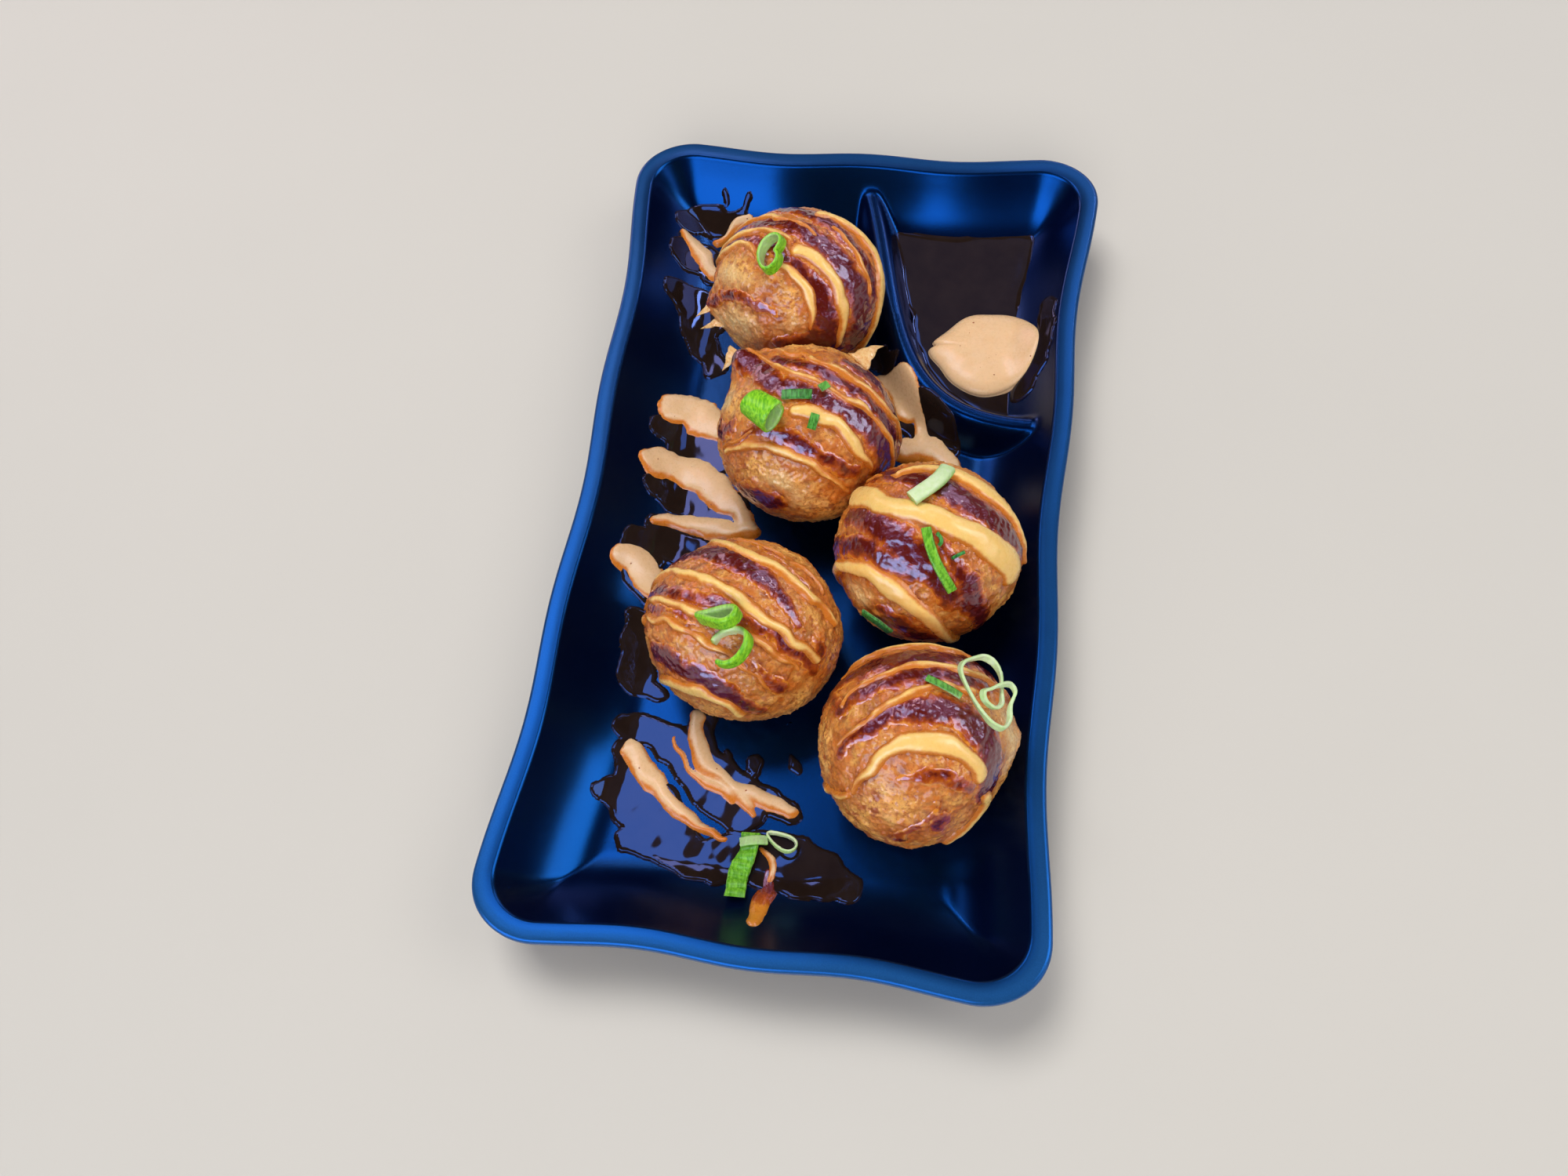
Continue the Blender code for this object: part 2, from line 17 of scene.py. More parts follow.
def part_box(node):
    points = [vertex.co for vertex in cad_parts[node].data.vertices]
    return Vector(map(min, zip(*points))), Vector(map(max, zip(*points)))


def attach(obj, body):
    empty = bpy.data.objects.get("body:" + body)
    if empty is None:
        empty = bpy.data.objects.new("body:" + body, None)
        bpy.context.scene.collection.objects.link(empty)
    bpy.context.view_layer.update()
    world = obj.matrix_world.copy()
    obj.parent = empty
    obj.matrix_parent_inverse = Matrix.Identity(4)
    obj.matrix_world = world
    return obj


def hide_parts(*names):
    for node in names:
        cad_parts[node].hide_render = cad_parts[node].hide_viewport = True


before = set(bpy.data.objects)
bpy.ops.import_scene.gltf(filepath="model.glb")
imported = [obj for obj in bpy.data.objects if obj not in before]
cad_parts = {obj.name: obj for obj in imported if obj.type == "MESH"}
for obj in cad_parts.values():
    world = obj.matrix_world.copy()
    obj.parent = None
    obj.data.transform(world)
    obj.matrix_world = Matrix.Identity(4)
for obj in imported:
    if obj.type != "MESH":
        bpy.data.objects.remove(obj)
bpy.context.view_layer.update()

MM = 0.001
ROOT = "root"

# ---- how finely the meshes are divided ----------------------------------------
PLATE_COUNT = 680
BALL_SPLITS = 7
PLAN_STEP = 0.45 * MM
POLAR_COUNT = 240
FLAP_STEPS, FLAP_AROUND = 18, 20

# ---- plate ----------------------------------------------------------------
RIM_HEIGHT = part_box("plate")[1][2]
FLOOR_HEIGHT = RIM_HEIGHT - 16.0 * MM
HALF_WIDTH = 59.5 * MM
HALF_LENGTH = 109.6 * MM
SIDE_WAVE = 0.7 * MM
SIDE_WAVE_PITCH = 62.0 * MM
END_WAVE = 0.65 * MM
END_WAVE_PITCH = 47.0 * MM
SIDE_FLARE = 4.5 * MM
SIDE_FLARE_POWER = 2.4
END_FLARE = 4.0 * MM
END_FLARE_POWER = 6.0
CORNER_RADIUS = 17.0 * MM
REACH_X = 63.5 * MM
REACH_Y = 111.0 * MM
RIM_BAND = 4.5 * MM
RIM_EDGE = 1.1 * MM
LIP_THICKNESS = 3.4 * MM
WALL_THICKNESS = 3.0 * MM
BOWL_RUN = 20.0 * MM
BOWL_POWER = 2.2
FOOT_INSET = 24.0 * MM
FOOT_WIDTH = 3.0 * MM
FOOT_ROUNDING = 0.8 * MM
FOOT_EDGE = 0.3 * MM
UNDERSIDE_HEIGHT = 3.0 * MM
SPINE_HALF = 50.0 * MM

RIDGE_DROP = 6.0 * MM
RIDGE_CREST_HALF = 0.9 * MM
RIDGE_FOOT_HALF = 7.0 * MM
RIDGE_BEND = ((0.7, 105.0), (15.1, 65.9), (10.4, 26.6), (57.0, 31.7))
RIDGE_FILLET = 1.8 * MM
# Painted sheen on the rim band, a lighter blue for sky light reflected off the flat rim: its share at the far
# end, its fade, its reach past the band, and where and over how far it grows to full towards the near end.
RIM_SHEEN_FAR_SHARE = 0.62
RIM_EASE_DROP = 0.16 * MM
RIM_EASE_HALF = 1.1 * MM
RIM_SHEEN_FADE = 2.6 * MM
RIM_SHEEN_PAST = 0.3 * MM
RIM_SHEEN_NEAR_START = 70.0 * MM
RIM_SHEEN_NEAR_RUN = 30.0 * MM

POOL_LEVEL = 9.6 * MM
WELL_CENTRE = (33.0 * MM, 68.0 * MM)
WELL_SEARCH = (2.0 * MM, 46.0 * MM, 160)
MAYO_CENTRE = (37.6 * MM, 56.3 * MM)
MAYO_RADIUS = 12.6 * MM
MAYO_TIP = 3.2 * MM
MAYO_TIP_ANGLE = math.radians(183.0)
MAYO_TIP_SPREAD = 0.33
MAYO_NICK = 1.3 * MM
MAYO_NICK_TURN = 0.10
MAYO_NICK_SPREAD = 0.05
MAYO_LEAN = 0.9 * MM
MAYO_LEAN_ANGLE = math.radians(-50.0)
MAYO_SWELL = 0.9 * MM
MAYO_SWELL_ANGLE = math.radians(52.0)
MAYO_SWELL_SPREAD = 0.45

# ---- balls ------------------------------------------------------------------
BALLS = {
    "ball_1": {"at": (-11.6, 59.8), "half": (22.4, 21.2, 21.0), "seed": 11},
    "ball_2": {"at": (-3.4, 16.9), "half": (22.6, 21.8, 21.5), "seed": 22},
    "ball_3": {"at": (28.7, -11.4), "half": (22.0, 21.5, 21.0), "seed": 33},
    "ball_4": {"at": (-11.2, -35.7), "half": (23.2, 21.0, 21.3), "seed": 44},
    "ball_5": {"at": (31.5, -58.8), "half": (21.9, 22.7, 21.8), "seed": 55},
}
BALL_BUMPS = {
    "ball_1": [(-80.0, -30.0, 2.2, 13.0)],
    "ball_2": [(-46.0, 34.0, 4.6, 11.0)],
    "ball_5": [(80.0, 8.0, 1.2, 9.0), (74.0, -42.0, -2.4, 34.0)],
}
BALL_SETTLE = 0.95
BALL_LUMP = 0.011
LUMP_WAVES = 9
PRESS_SHARPNESS = 26.0
GAP = 0.3 * MM
PALE_PATCHES = {
    "ball_1": [(-52.0, -40.0, 10.0), (5.0, -66.0, 5.0)],
    "ball_2": [(-62.0, 5.0, 4.0), (-10.0, -70.0, 6.0)],
    "ball_3": [(-50.0, -50.0, 5.0)],
    "ball_5": [(62.0, 6.0, 6.0), (70.0, -10.0, 5.0)],
}
CRUST_INSET = 0.35 * MM
RELIEF_RISE = 2.0 * MM
STAIN_RUN = 3.8 * MM
PALE_UNDERSIDE = 0.75
PALE_START = 2.0 * MM
PALE_RUN = 12.0 * MM
CRUST_RELIEF = {"Lump_Size": 3.0, "Lump_Height": 0.95, "Pore_Size": 0.80, "Pore_Height": 0.55}
NEIGHBOUR_REACH = 47.0 * MM

# ---- onion bands ----------------------------------------------------------------
BAND_ROUNDING = 0.48
RIB_SCALE = 1100.0
RIB_HEIGHT = 0.22 * MM

# ---- sauces: how high, how far and how soft ------------------------------------------
RIBBON_BLEND = 0.35 * MM
FLAT_SHOULDER = 0.8 * MM
# This shift moves where plate mayonnaise counts as thin towards the near side, so its brown fringe is painted
# shade on the side away from the key light.
NEAR_SIDE_SHADE_SHIFT = 0.9 * MM
THIN_RUN = 1.8 * MM
GLAZE_RISE = 0.45 * MM
GLAZE_SPREAD = 1.45
GLAZE_LIFT = -0.06 * MM
GLAZE_RUN = 2.6 * MM
MAYO_RISE = 1.45 * MM
MAYO_LIFT = 0.05 * MM
MAYO_RUN = 1.3 * MM
SKIN_SINK = 0.9 * MM
SKIN_SKIRT = 0.55 * MM
PUDDLE_RISE = 0.7 * MM
LOBE_RISE = 1.7 * MM
AMBER_RISE = 1.2 * MM
TRAIL_SKIRT = 0.7 * MM
TRAIL_LIFT = 0.02 * MM
POOL_CREEP = 0.25 * MM
POOL_CREEP_RUN = 0.8 * MM
POOL_WANDER = 0.35 * MM
BLOB_RISE = 2.8 * MM
BED_EASE = 1.6 * MM
BLOB_DEPTH = 1.8 * MM
POOL_DEPTH = 1.2 * MM
TRAIL_STEPS = 22

# ---- ribbons on the balls ----------------------------------------------------
# Each is a Bezier in degrees east and north of the ball's top, then the half
# width in degrees at its start, middle and end.
BALL_MAYO = {
    "ball_1": [
        ((-63, 38), (-31, 34), (-12, 21), (14, 6), (2.5, 3.0, 1.0)),
        ((-79, 24), (-54, 11), (-20, 19), (0, -3), (2.5, 3.6, 2.1)),
        ((-77, 13), (-57, 3), (-25, 9), (-20, -20), (2.5, 3.4, 1.0)),
        ((6, -8), (28, -10), (53, -52), (46, -73), (5.0, 4.6, 1.7)),
        ((-6, -21), (11, -23), (22, -47), (21, -63), (3.2, 4.2, 0.9)),
        ((15, 29), (80, 44), (80, -36), (97, -76), (4.2, 6.0, 2.5)),
        ((25, 18), (45, 7), (56, -13), (71, -29), (1.6, 2.3, 1.0)),
    ],
    "ball_2": [
        ((-43, 52), (2, 21), (61, 5), (115, 0), (2.0, 2.6, 2.2)),
        ((-47, 40), (-36, 36), (-28, 26), (-17, 18), (1.1, 1.5, 2.0)),
        ((-19, 19), (21, -10), (87, 5), (98, -54), (2.2, 2.7, 1.6)),
        ((-2, -15), (20, -13), (40, -29), (56, -42), (4.3, 5.0, 1.5)),
        ((-58, -38), (-16, -31), (12, -48), (43, -61), (2.6, 3.0, 1.4)),
        ((-62, -33), (-48, -29), (-40, -33), (-29, -27), (1.0, 1.5, 1.0)),
    ],
    "ball_3": [
        ((-21, 30), (15, 47), (60, 21), (88, -3), (2.4, 7.4, 2.1)),
        ((-54, 24), (-12, -13), (30, -4), (65, -20), (8.0, 7.6, 11.5)),
        ((-105, -34), (-39, -11), (12, -76), (55, -114), (3.0, 7.4, 3.0)),
        ((-50, 42), (-38, 40), (-30, 36), (-22, 28), (1.6, 1.8, 1.4)),
    ],
    "ball_4": [
        ((-34, 67), (-10, 31), (33, 18), (71, 4), (3.4, 4.3, 2.2)),
        ((-78, 25), (-25, 28), (10, -16), (58, -29), (3.0, 3.9, 2.9)),
        ((-95, 10), (-46, 2), (2, -19), (46, -40), (2.1, 3.2, 1.7)),
        ((-100, -4), (-49, -7), (-3, -33), (38, -62), (2.0, 2.9, 0.9)),
        ((-85, -60), (-54, -64), (-13, -59), (11, -83), (3.6, 4.2, 3.4)),
        ((-19, 68), (-2, 40), (35, 44), (57, 22), (1.2, 1.7, 1.4)),
    ],
    "ball_5": [
        ((-66, 40), (-36, 62), (3, 56), (33, 60), (1.8, 3.6, 2.2)),
        ((-49, 8), (-14, 43), (33, 25), (73, 47), (1.6, 3.1, 1.6)),
        ((-50, -17), (-26, -4), (0, 25), (29, 20), (1.1, 2.6, 2.6)),
        ((-37, -46), (-23, -14), (21, 0), (43, -27), (1.4, 6.6, 5.0)),
        ((-100, -50), (-80, -39), (-62, -53), (-43, -48), (2.5, 3.6, 2.0)),
        ((60, -41), (76, -52), (60, -75), (40, -90), (4.5, 5.2, 2.2)),
    ],
}
BALL_GLAZE = {
    "ball_1": [
        ((-23, 47), (10, 28), (72, 2), (73, -35), (6.0, 5.0, 4.0)),
        ((-65, 24), (-13, 24), (48, -5), (70, -55), (3.0, 6.6, 9.4)),
        ((-75, 20), (-20, 4), (53, -39), (26, -76), (3.6, 4.6, 8.9)),
        ((-103, -27), (-71, -27), (-35, -36), (-9, -52), (2.4, 4.0, 2.6)),
        ((-5, -75), (10, -76), (25, -74), (45, -70), (4.3, 7.9, 8.0)),
    ],
    "ball_2": [
        ((-60, 38), (-46, 38), (-30, 20), (-13, 1), (7.0, 6.6, 4.4)),
        ((-20, 27), (11, 14), (43, 5), (73, -10), (5.0, 4.3, 5.4)),
        ((-26, 11), (3, -14), (47, -2), (73, -33), (5.6, 6.2, 8.0)),
        ((-47, -35), (-22, -13), (13, -48), (43, -46), (1.4, 4.6, 3.6)),
        ((25, 34), (55, 35), (71, 3), (99, -2), (4.6, 6.2, 2.5)),
        ((-60, -72), (-48, -74), (-36, -78), (-19, -80), (5.0, 8.1, 6.4)),
        ((-70, -16), (-60, -22), (-53, -22), (-46, -18), (5.0, 4.0, 2.4)),
    ],
    "ball_3": [
        ((-62, 50), (-9, 26), (33, 1), (80, 0), (4.0, 8.4, 5.0)),
        ((-56, 8), (-25, -8), (-1, -31), (22, -52), (5.0, 7.6, 5.7)),
        ((-96, -12), (-62, -7), (-34, -26), (-5, -38), (3.0, 5.4, 5.4)),
        ((7, -17), (31, -41), (49, -67), (66, -80), (2.8, 6.4, 4.0)),
        ((-30, -66), (-16, -72), (-6, -86), (7, -92), (3.0, 5.6, 6.0)),
    ],
    "ball_4": [
        ((-69, 43), (-27, 47), (14, 19), (40, -11), (3.6, 7.6, 2.5)),
        ((-90, 16), (-37, 6), (13, -15), (61, -37), (3.0, 3.6, 3.4)),
        ((-96, 4), (-70, 1), (-45, -8), (-21, -18), (1.8, 2.3, 1.7)),
        ((-58, -37), (-27, -48), (3, -64), (24, -79), (5.3, 7.1, 3.7)),
        ((15, -42), (23, -47), (31, -52), (38, -56), (1.4, 2.6, 3.4)),
        ((-13, 60), (12, 42), (28, 33), (45, 20), (1.0, 2.2, 1.2)),
        ((56, -18), (58, -19), (60, -22), (61, -24), (3.4, 3.7, 3.2)),
    ],
    "ball_5": [
        ((-85, 17), (-40, 42), (16, 34), (56, 62), (4.0, 7.6, 5.0)),
        ((-52, 4), (-22, 22), (6, 25), (38, 30), (3.6, 5.4, 5.0)),
        ((-47, -22), (-20, 7), (45, 24), (58, -34), (3.6, 6.2, 8.2)),
        ((-8, -35), (5, -28), (22, -31), (37, -36), (1.2, 3.6, 3.4)),
        ((21, -58), (22, -60), (24, -63), (24, -64), (3.8, 4.4, 4.0)),
        ((16, -46), (27, -52), (-4, -71), (-8, -80), (1.4, 1.8, 3.0)),
        ((-86, 32), (-70, 26), (-60, 18), (-53, 8), (2.5, 3.6, 3.0)),
    ],
}

# ---- sauces on the plate -------------------------------------------------------
# Each is a Bezier in plan, in millimetres, then its half widths.
PUDDLES = [
    ((-39, -56), (-26, -54), (-20, -70), (-9, -74), (3.4, 4.9, 4.5)),
    ((-41, -72), (-31, -75), (-24, -84), (-13, -87), (3.2, 6.9, 4.5)),
    ((-10, -84), (-1, -83), (9, -84), (18, -88), (5.4, 7.6, 4.0)),
    ((-38, -62), (-36, -66), (-33, -73), (-28, -74), (3.4, 5.3, 5.5)),
    ((-34, -83), (-32, -83), (-30, -83), (-28, -83), (3.0, 3.6, 3.6)),
    ((-26, -58), (-23, -66), (-10, -67), (-5, -74), (1.9, 4.4, 2.7)),
    ((-21, -52), (-25, -64), (-5, -69), (3, -72), (3.4, 3.9, 3.0)),
    ((-42, -28), (-40, -33), (-41, -38), (-39, -43), (3.0, 4.1, 4.7)),
    ((-42, -43), (-39, -45), (-36, -47), (-32, -47), (2.0, 2.5, 1.8)),
    ((-44, 27), (-40, 23), (-38, 22), (-30, 20), (4.0, 5.7, 5.6)),
    ((-42, 9), (-38, 6), (-29, 5), (-24, 5), (4.4, 5.5, 5.6)),
    ((-41, -3), (-38, -6), (-36, -9), (-30, -8), (3.6, 5.2, 4.4)),
    ((-45, -8), (-44, -12), (-43, -17), (-41, -20), (3.6, 5.2, 3.6)),
    ((-49, 92), (-46, 97), (-41, 92), (-36, 94), (3.6, 4.3, 3.6)),
    ((-49, 83), (-46, 81), (-44, 82), (-40, 79), (3.4, 6.4, 5.2)),
    ((-48, 68), (-45, 68), (-42, 64), (-38, 64), (3.6, 6.0, 6.2)),
    ((-43, 61), (-41, 57), (-39, 54), (-35, 48), (3.4, 4.4, 3.7)),
    ((9, 53), (10, 52), (12, 51), (13, 50), (3.0, 2.2, 2.0)),
    ((17, 39), (23, 33), (25, 32), (29, 27), (4.5, 5.6, 4.6)),
    ((52, 68), (53, 60), (52, 50), (47, 43), (1.6, 2.6, 2.2)),
]
DROPS = [
    ((-40, 100), (-39.6, 99.6), (-39.4, 99.2), (-39, 99), (0.9, 1.0, 0.8)),
    ((-32, 99), (-33, 99), (-33, 97), (-35, 96), (0.9, 1.1, 0.7)),
    ((-7.5, -60.5), (-6.6, -62), (-6.6, -62), (-6.2, -63.5), (1.6, 2.3, 1.6)),
    ((-14, -59), (-13.6, -60), (-13.6, -60), (-13.4, -61), (0.7, 1.0, 0.7)),
    ((1.5, -59.5), (2.5, -61), (2.5, -61), (3.5, -62), (1.0, 1.6, 1.0)),
]
FLOOR_MAYO = [
    ((-42, 32), (-39, 33), (-35, 30), (-30, 28), (5.2, 5.8, 4.6)),
    ((-44, 15), (-34, 17), (-25, 7), (-18, 0), (4.6, 5.4, 2.2)),
    ((-42, -1), (-34, 1), (-26, -3), (-17, -1), (1.4, 3.9, 2.2)),
    ((-45, -14), (-43, -14), (-41, -18), (-38, -23), (4.9, 5.2, 1.4)),
    ((-49, 88), (-46, 85), (-43, 81), (-40, 77), (1.6, 3.2, 2.4)),
    ((-33, 94), (-37, 94), (-38, 90), (-41, 88), (2.2, 1.6, 0.9)),
    ((-37, -62), (-30, -70), (-22, -78), (-11, -80), (3.0, 2.6, 0.6)),
    ((-27, -58), (-24, -64), (-18, -68), (-12, -70), (0.7, 1.3, 1.8)),
    ((-22, -52), (-24, -66), (-7, -69), (3, -72), (2.4, 2.3, 2.3)),
    ((-10, -69), (-8, -71), (-6, -73), (-5, -74), (2.2, 1.4, 0.7)),
    ((-2, -81), (0, -83), (1, -85), (1, -88), (0.8, 1.3, 1.4)),
    ((11, 46), (16, 45), (18, 41), (19, 37), (3.0, 3.9, 3.4)),
    ((19, 39), (21, 37), (22, 33), (24, 30), (2.2, 2.0, 2.4)),
    ((19, 26), (24, 29), (28, 27), (32, 21), (3.4, 4.2, 2.6)),
]

# The twisted slice seen from above: right, up and out, in millimetres.
KNOT = (
    (4.0, 3.2, 0.4), (4.2, 5.8, 0.3), (3.2, 8.3, 0.0), (1.0, 9.3, 0.0), (-1.4, 8.8, -0.2),
    (-3.9, 7.8, -0.3), (-5.1, 5.8, -0.3), (-4.7, 2.7, 0.0), (-3.5, -0.9, 0.2), (-1.9, -3.9, 0.2),
    (0.1, -6.0, 0.0), (2.4, -6.8, 0.0),
    (4.2, -5.0, 0.2), (4.7, -1.9, 0.8), (5.9, 0.7, 1.8), (4.7, 2.2, 2.3), (2.4, 1.9, 2.4), (-0.1, 0.9, 2.2),
    (-2.0, 0.2, 1.9), (-1.8, -1.7, 1.6), (0.4, -2.9, 1.2), (2.6, -1.7, 0.8), (3.4, 0.7, 0.5),
)
# Torn flaps of crust: root and tip in millimetres above the plate's floor, half width.
TORN_FLAPS = [
    ((-29.4, 54.4, 22.6), (-37.2, 49.4, 20.2), 3.0),
    ((-28.2, 49.0, 20.0), (-36.2, 47.6, 17.4), 2.4),
    ((7.4, 31.6, 31.6), (13.0, 38.0, 29.8), 3.2),
    ((-23.4, 36.4, 25.6), (-26.8, 31.4, 23.6), 2.4),
]
FLAP_THICKNESS = 0.6 * MM
FLAP_TIP_WIDTH = 0.05 * MM
FLAP_ARCH = 1.0 * MM
FLAP_SWAY = 0.25 * MM
# Specks: how many on a square metre, size in millimetres, seed.
PLATE_SPECKS = (14000.0, 0.15, 5)
WELL_SPECKS = (28000.0, 0.20, 6)
AMBER_END = -95.0 * MM
AMBER_RUN = 7.0 * MM
AMBER_TAIL = [
    ((0.4, -86), (0.8, -91), (-0.2, -94), (-0.8, -98), (1.4, 2.1, 2.0)),
]

# ---- stage, lights and camera --------------------------------------------------------------------
FLOOR_HALF = 1.6
WORLD_COLOUR = (0.95, 0.97, 1.0, 1.0)
WORLD_STRENGTH = 0.20
LIGHT_DISTANCE = 2.0
LIGHT_TARGET = (0.0, 0.0, 0.02)
# Elevation, turn and roll in degrees, then the place and the lens, which is in millimetres.
CAMERA_ANGLES = (65.648, 20.053, -12.951)
CAMERA_PLACE = (0.03926, -0.14132, 0.30250)
SENSOR_WIDTH = 36.0
LENS = 29.7
# Name, azimuth and elevation in degrees, size in metres, radiance, colour.
SOFT_LIGHTS = [
    ("key", -40.0, 70.0, (0.9, 0.9), 9.6, (1.0, 0.96, 0.89)),
    ("front fill", 175.0, 40.0, (1.2, 0.9), 5.0, (1.0, 0.92, 0.83)),
    ("right fill", 80.0, 48.0, (1.0, 0.9), 1.9, (1.0, 0.92, 0.83)),
]
REFLECTED_CARDS = [
    ("sky window", -50.0, 66.2, (0.47, 0.70), 6.6, (0.50, 0.68, 1.0)),
    ("sky high", -25.5, 58.0, (0.16, 0.60), 10.0, (1.0, 0.60, 0.64)),
    ("sky left", -62.0, 45.0, (1.1, 0.7), 2.6, (0.82, 0.70, 1.0)),
    ("sky low", -46.0, 13.0, (0.9, 0.45), 3.6, (1.0, 0.66, 0.80)),
    ("sky far", 22.0, 27.0, (1.6, 0.6), 2.0, (0.80, 0.70, 1.0)),
    ("sky right low", 112.0, 18.0, (1.0, 0.5), 2.4, (0.85, 0.72, 1.0)),
    ("sky behind", -150.0, 30.0, (1.9, 1.3), 7.0, (0.42, 0.66, 1.0)),
    ("sky right", 83.0, 44.0, (0.8, 1.5), 6.5, (0.72, 0.84, 1.0)),
    ("sky far right", 14.0, 53.0, (0.36, 0.40), 4.0, (0.50, 0.66, 1.0)),
    ("glint left", -66.0, 54.0, (0.12, 0.45), 12.0, (0.95, 0.86, 1.0)),
    ("glint far", 30.0, 41.0, (0.50, 0.12), 18.0, (0.95, 0.86, 1.0)),
    ("warm overhead", 15.0, 85.0, (1.0, 0.8), 0.12, (1.0, 0.75, 0.72)),
    ("warm far", -1.0, 52.0, (0.32, 0.26), 0.35, (1.0, 0.75, 0.72)),
]


# ---- surfaces as functions of place ----------------------------------------------
def inset(x, y):
    """How far (x, y) lies inside the plate's wavy outline; below 0 is outside."""
    side = HALF_WIDTH - SIDE_WAVE * np.cos(2.0 * np.pi * y / SIDE_WAVE_PITCH)
    side = side + SIDE_FLARE * np.abs(y / REACH_Y) ** SIDE_FLARE_POWER
    end = HALF_LENGTH + END_WAVE * np.cos(2.0 * np.pi * x / END_WAVE_PITCH)
    end = end + END_FLARE * np.abs(x / REACH_X) ** END_FLARE_POWER
    a = np.abs(x) - side + CORNER_RADIUS
    b = np.abs(y) - end + CORNER_RADIUS
    straight = np.minimum(np.maximum(a, b), 0.0)
    rounded = np.hypot(np.maximum(a, 0.0), np.maximum(b, 0.0))
    return CORNER_RADIUS - straight - rounded


def bowl_height(depth_in):
    """Height of the curved wall and floor, for an inset from the outline."""
    run = np.clip((depth_in - RIM_BAND) / BOWL_RUN, 0.0, 1.0)
    return RIM_HEIGHT - (RIM_HEIGHT - FLOOR_HEIGHT) * (1.0 - (1.0 - run) ** BOWL_POWER)


def bezier(bend, steps):
    """Points along a cubic Bezier."""
    start, leave, turn, end = np.array(bend, dtype=float)
    t = np.linspace(0.0, 1.0, steps)[:, None]
    curve = (1.0 - t) ** 3 * start + 3.0 * (1.0 - t) ** 2 * t * leave
    return curve + 3.0 * (1.0 - t) * t ** 2 * turn + t ** 3 * end


def line_reach(points, line, halves):
    """Distance from points to a line: as a share of its half width, and in metres past its edge."""
    share_best = np.full(len(points), 9.0)
    past_best = np.full(len(points), 1.0)
    for a, b, wide, narrow in zip(line[:-1], line[1:], halves[:-1], halves[1:]):
        step = b - a
        share = np.clip(((points - a) @ step) / max(float(step @ step), 1e-12), 0.0, 1.0)
        away = np.linalg.norm(points - a - share[:, None] * step, axis=1)
        width = wide + (narrow - wide) * share
        share_best = np.minimum(share_best, away / width)
        past_best = np.minimum(past_best, away - width)
    return share_best, past_best


RIDGE_LINE = bezier(RIDGE_BEND, 70) * MM


def ridge_height(x, y):
    """Height of the ridge round the sauce well, falling away on both sides of its crest."""
    points = np.column_stack([np.ravel(x), np.ravel(y)])
    offset = line_reach(points, RIDGE_LINE, np.ones(len(RIDGE_LINE)))[0].reshape(np.shape(x))
    crest = RIM_HEIGHT - RIDGE_DROP
    slope = np.clip((offset - RIDGE_CREST_HALF) / (RIDGE_FOOT_HALF - RIDGE_CREST_HALF), 0.0, 1.0)
    return FLOOR_HEIGHT + (crest - FLOOR_HEIGHT) * 0.5 * (1.0 + np.cos(np.pi * slope))


def tray_height(x, y):
    """Height of the plate's upper face, its ridge run into the wall with a fillet."""
    bowl = bowl_height(inset(x, y))
    ridge = ridge_height(x, y)
    fillet = RIDGE_FILLET * np.clip((np.minimum(bowl, ridge) - FLOOR_HEIGHT) / (2.0 * MM), 0.0, 1.0)
    near = np.maximum(fillet - np.abs(bowl - ridge), 0.0) / np.maximum(fillet, 1e-6)
    return np.maximum(bowl, ridge) + near ** 2 * fillet * 0.25


def angle_from(angles, middle):
    """How far each angle is from a middle one, between minus and plus half a turn."""
    return np.arctan2(np.sin(angles - middle), np.cos(angles - middle))


def top_direction(east, north):
    """Unit directions for degrees east and north of a ball's top."""
    polar = np.radians(np.hypot(east, north))
    turn = np.arctan2(north, east)
    return np.stack([np.sin(polar) * np.cos(turn), np.sin(polar) * np.sin(turn), np.cos(polar)], axis=-1)


def ball_centre(name):
    """Middle of a ball, which stands on the floor on its flat spot."""
    x, y = BALLS[name]["at"]
    return np.array([x, y, BALLS[name]["half"][2] * BALL_SETTLE]) * MM + (0.0, 0.0, FLOOR_HEIGHT)


def ball_presses(name):
    """Planes that press a ball flat, as (outward direction, distance from its centre)."""
    here = ball_centre(name)
    planes = [(np.array([0.0, 0.0, -1.0]), here[2] - FLOOR_HEIGHT - GAP)]
    for other in BALLS:
        if other == name:
            continue
        between = ball_centre(other) - here
        distance = float(np.linalg.norm(between))
        if distance < NEIGHBOUR_REACH:
            planes.append((between / distance, 0.5 * distance - 0.6 * GAP))
    return planes


def ball_surface(name, directions):
    """A ball's surface points in unit directions: an uneven, settled sphere."""
    ball = BALLS[name]
    rng = np.random.RandomState(ball["seed"])
    axes = rng.normal(size=(LUMP_WAVES, 3)) * 2.2
    phases = rng.uniform(0.0, 2.0 * np.pi, LUMP_WAVES)
    swell = 1.0 + BALL_LUMP * np.mean(np.sin(directions @ axes.T + phases), axis=1) * math.sqrt(LUMP_WAVES)
    place = np.array(ball["half"]) * MM * directions * swell[:, None]
    for east, north, height, spread in BALL_BUMPS.get(name, []):
        apart = np.degrees(np.arccos(np.clip(directions @ top_direction(east, north), -1.0, 1.0)))
        place = place + directions * (height * MM * np.exp(-(apart / spread) ** 2))[:, None]
    for outward, limit in ball_presses(name):
        push = np.maximum(place @ outward / limit, 0.0)
        place = place / ((1.0 + push ** PRESS_SHARPNESS) ** (1.0 / PRESS_SHARPNESS))[:, None]
    return ball_centre(name) + place


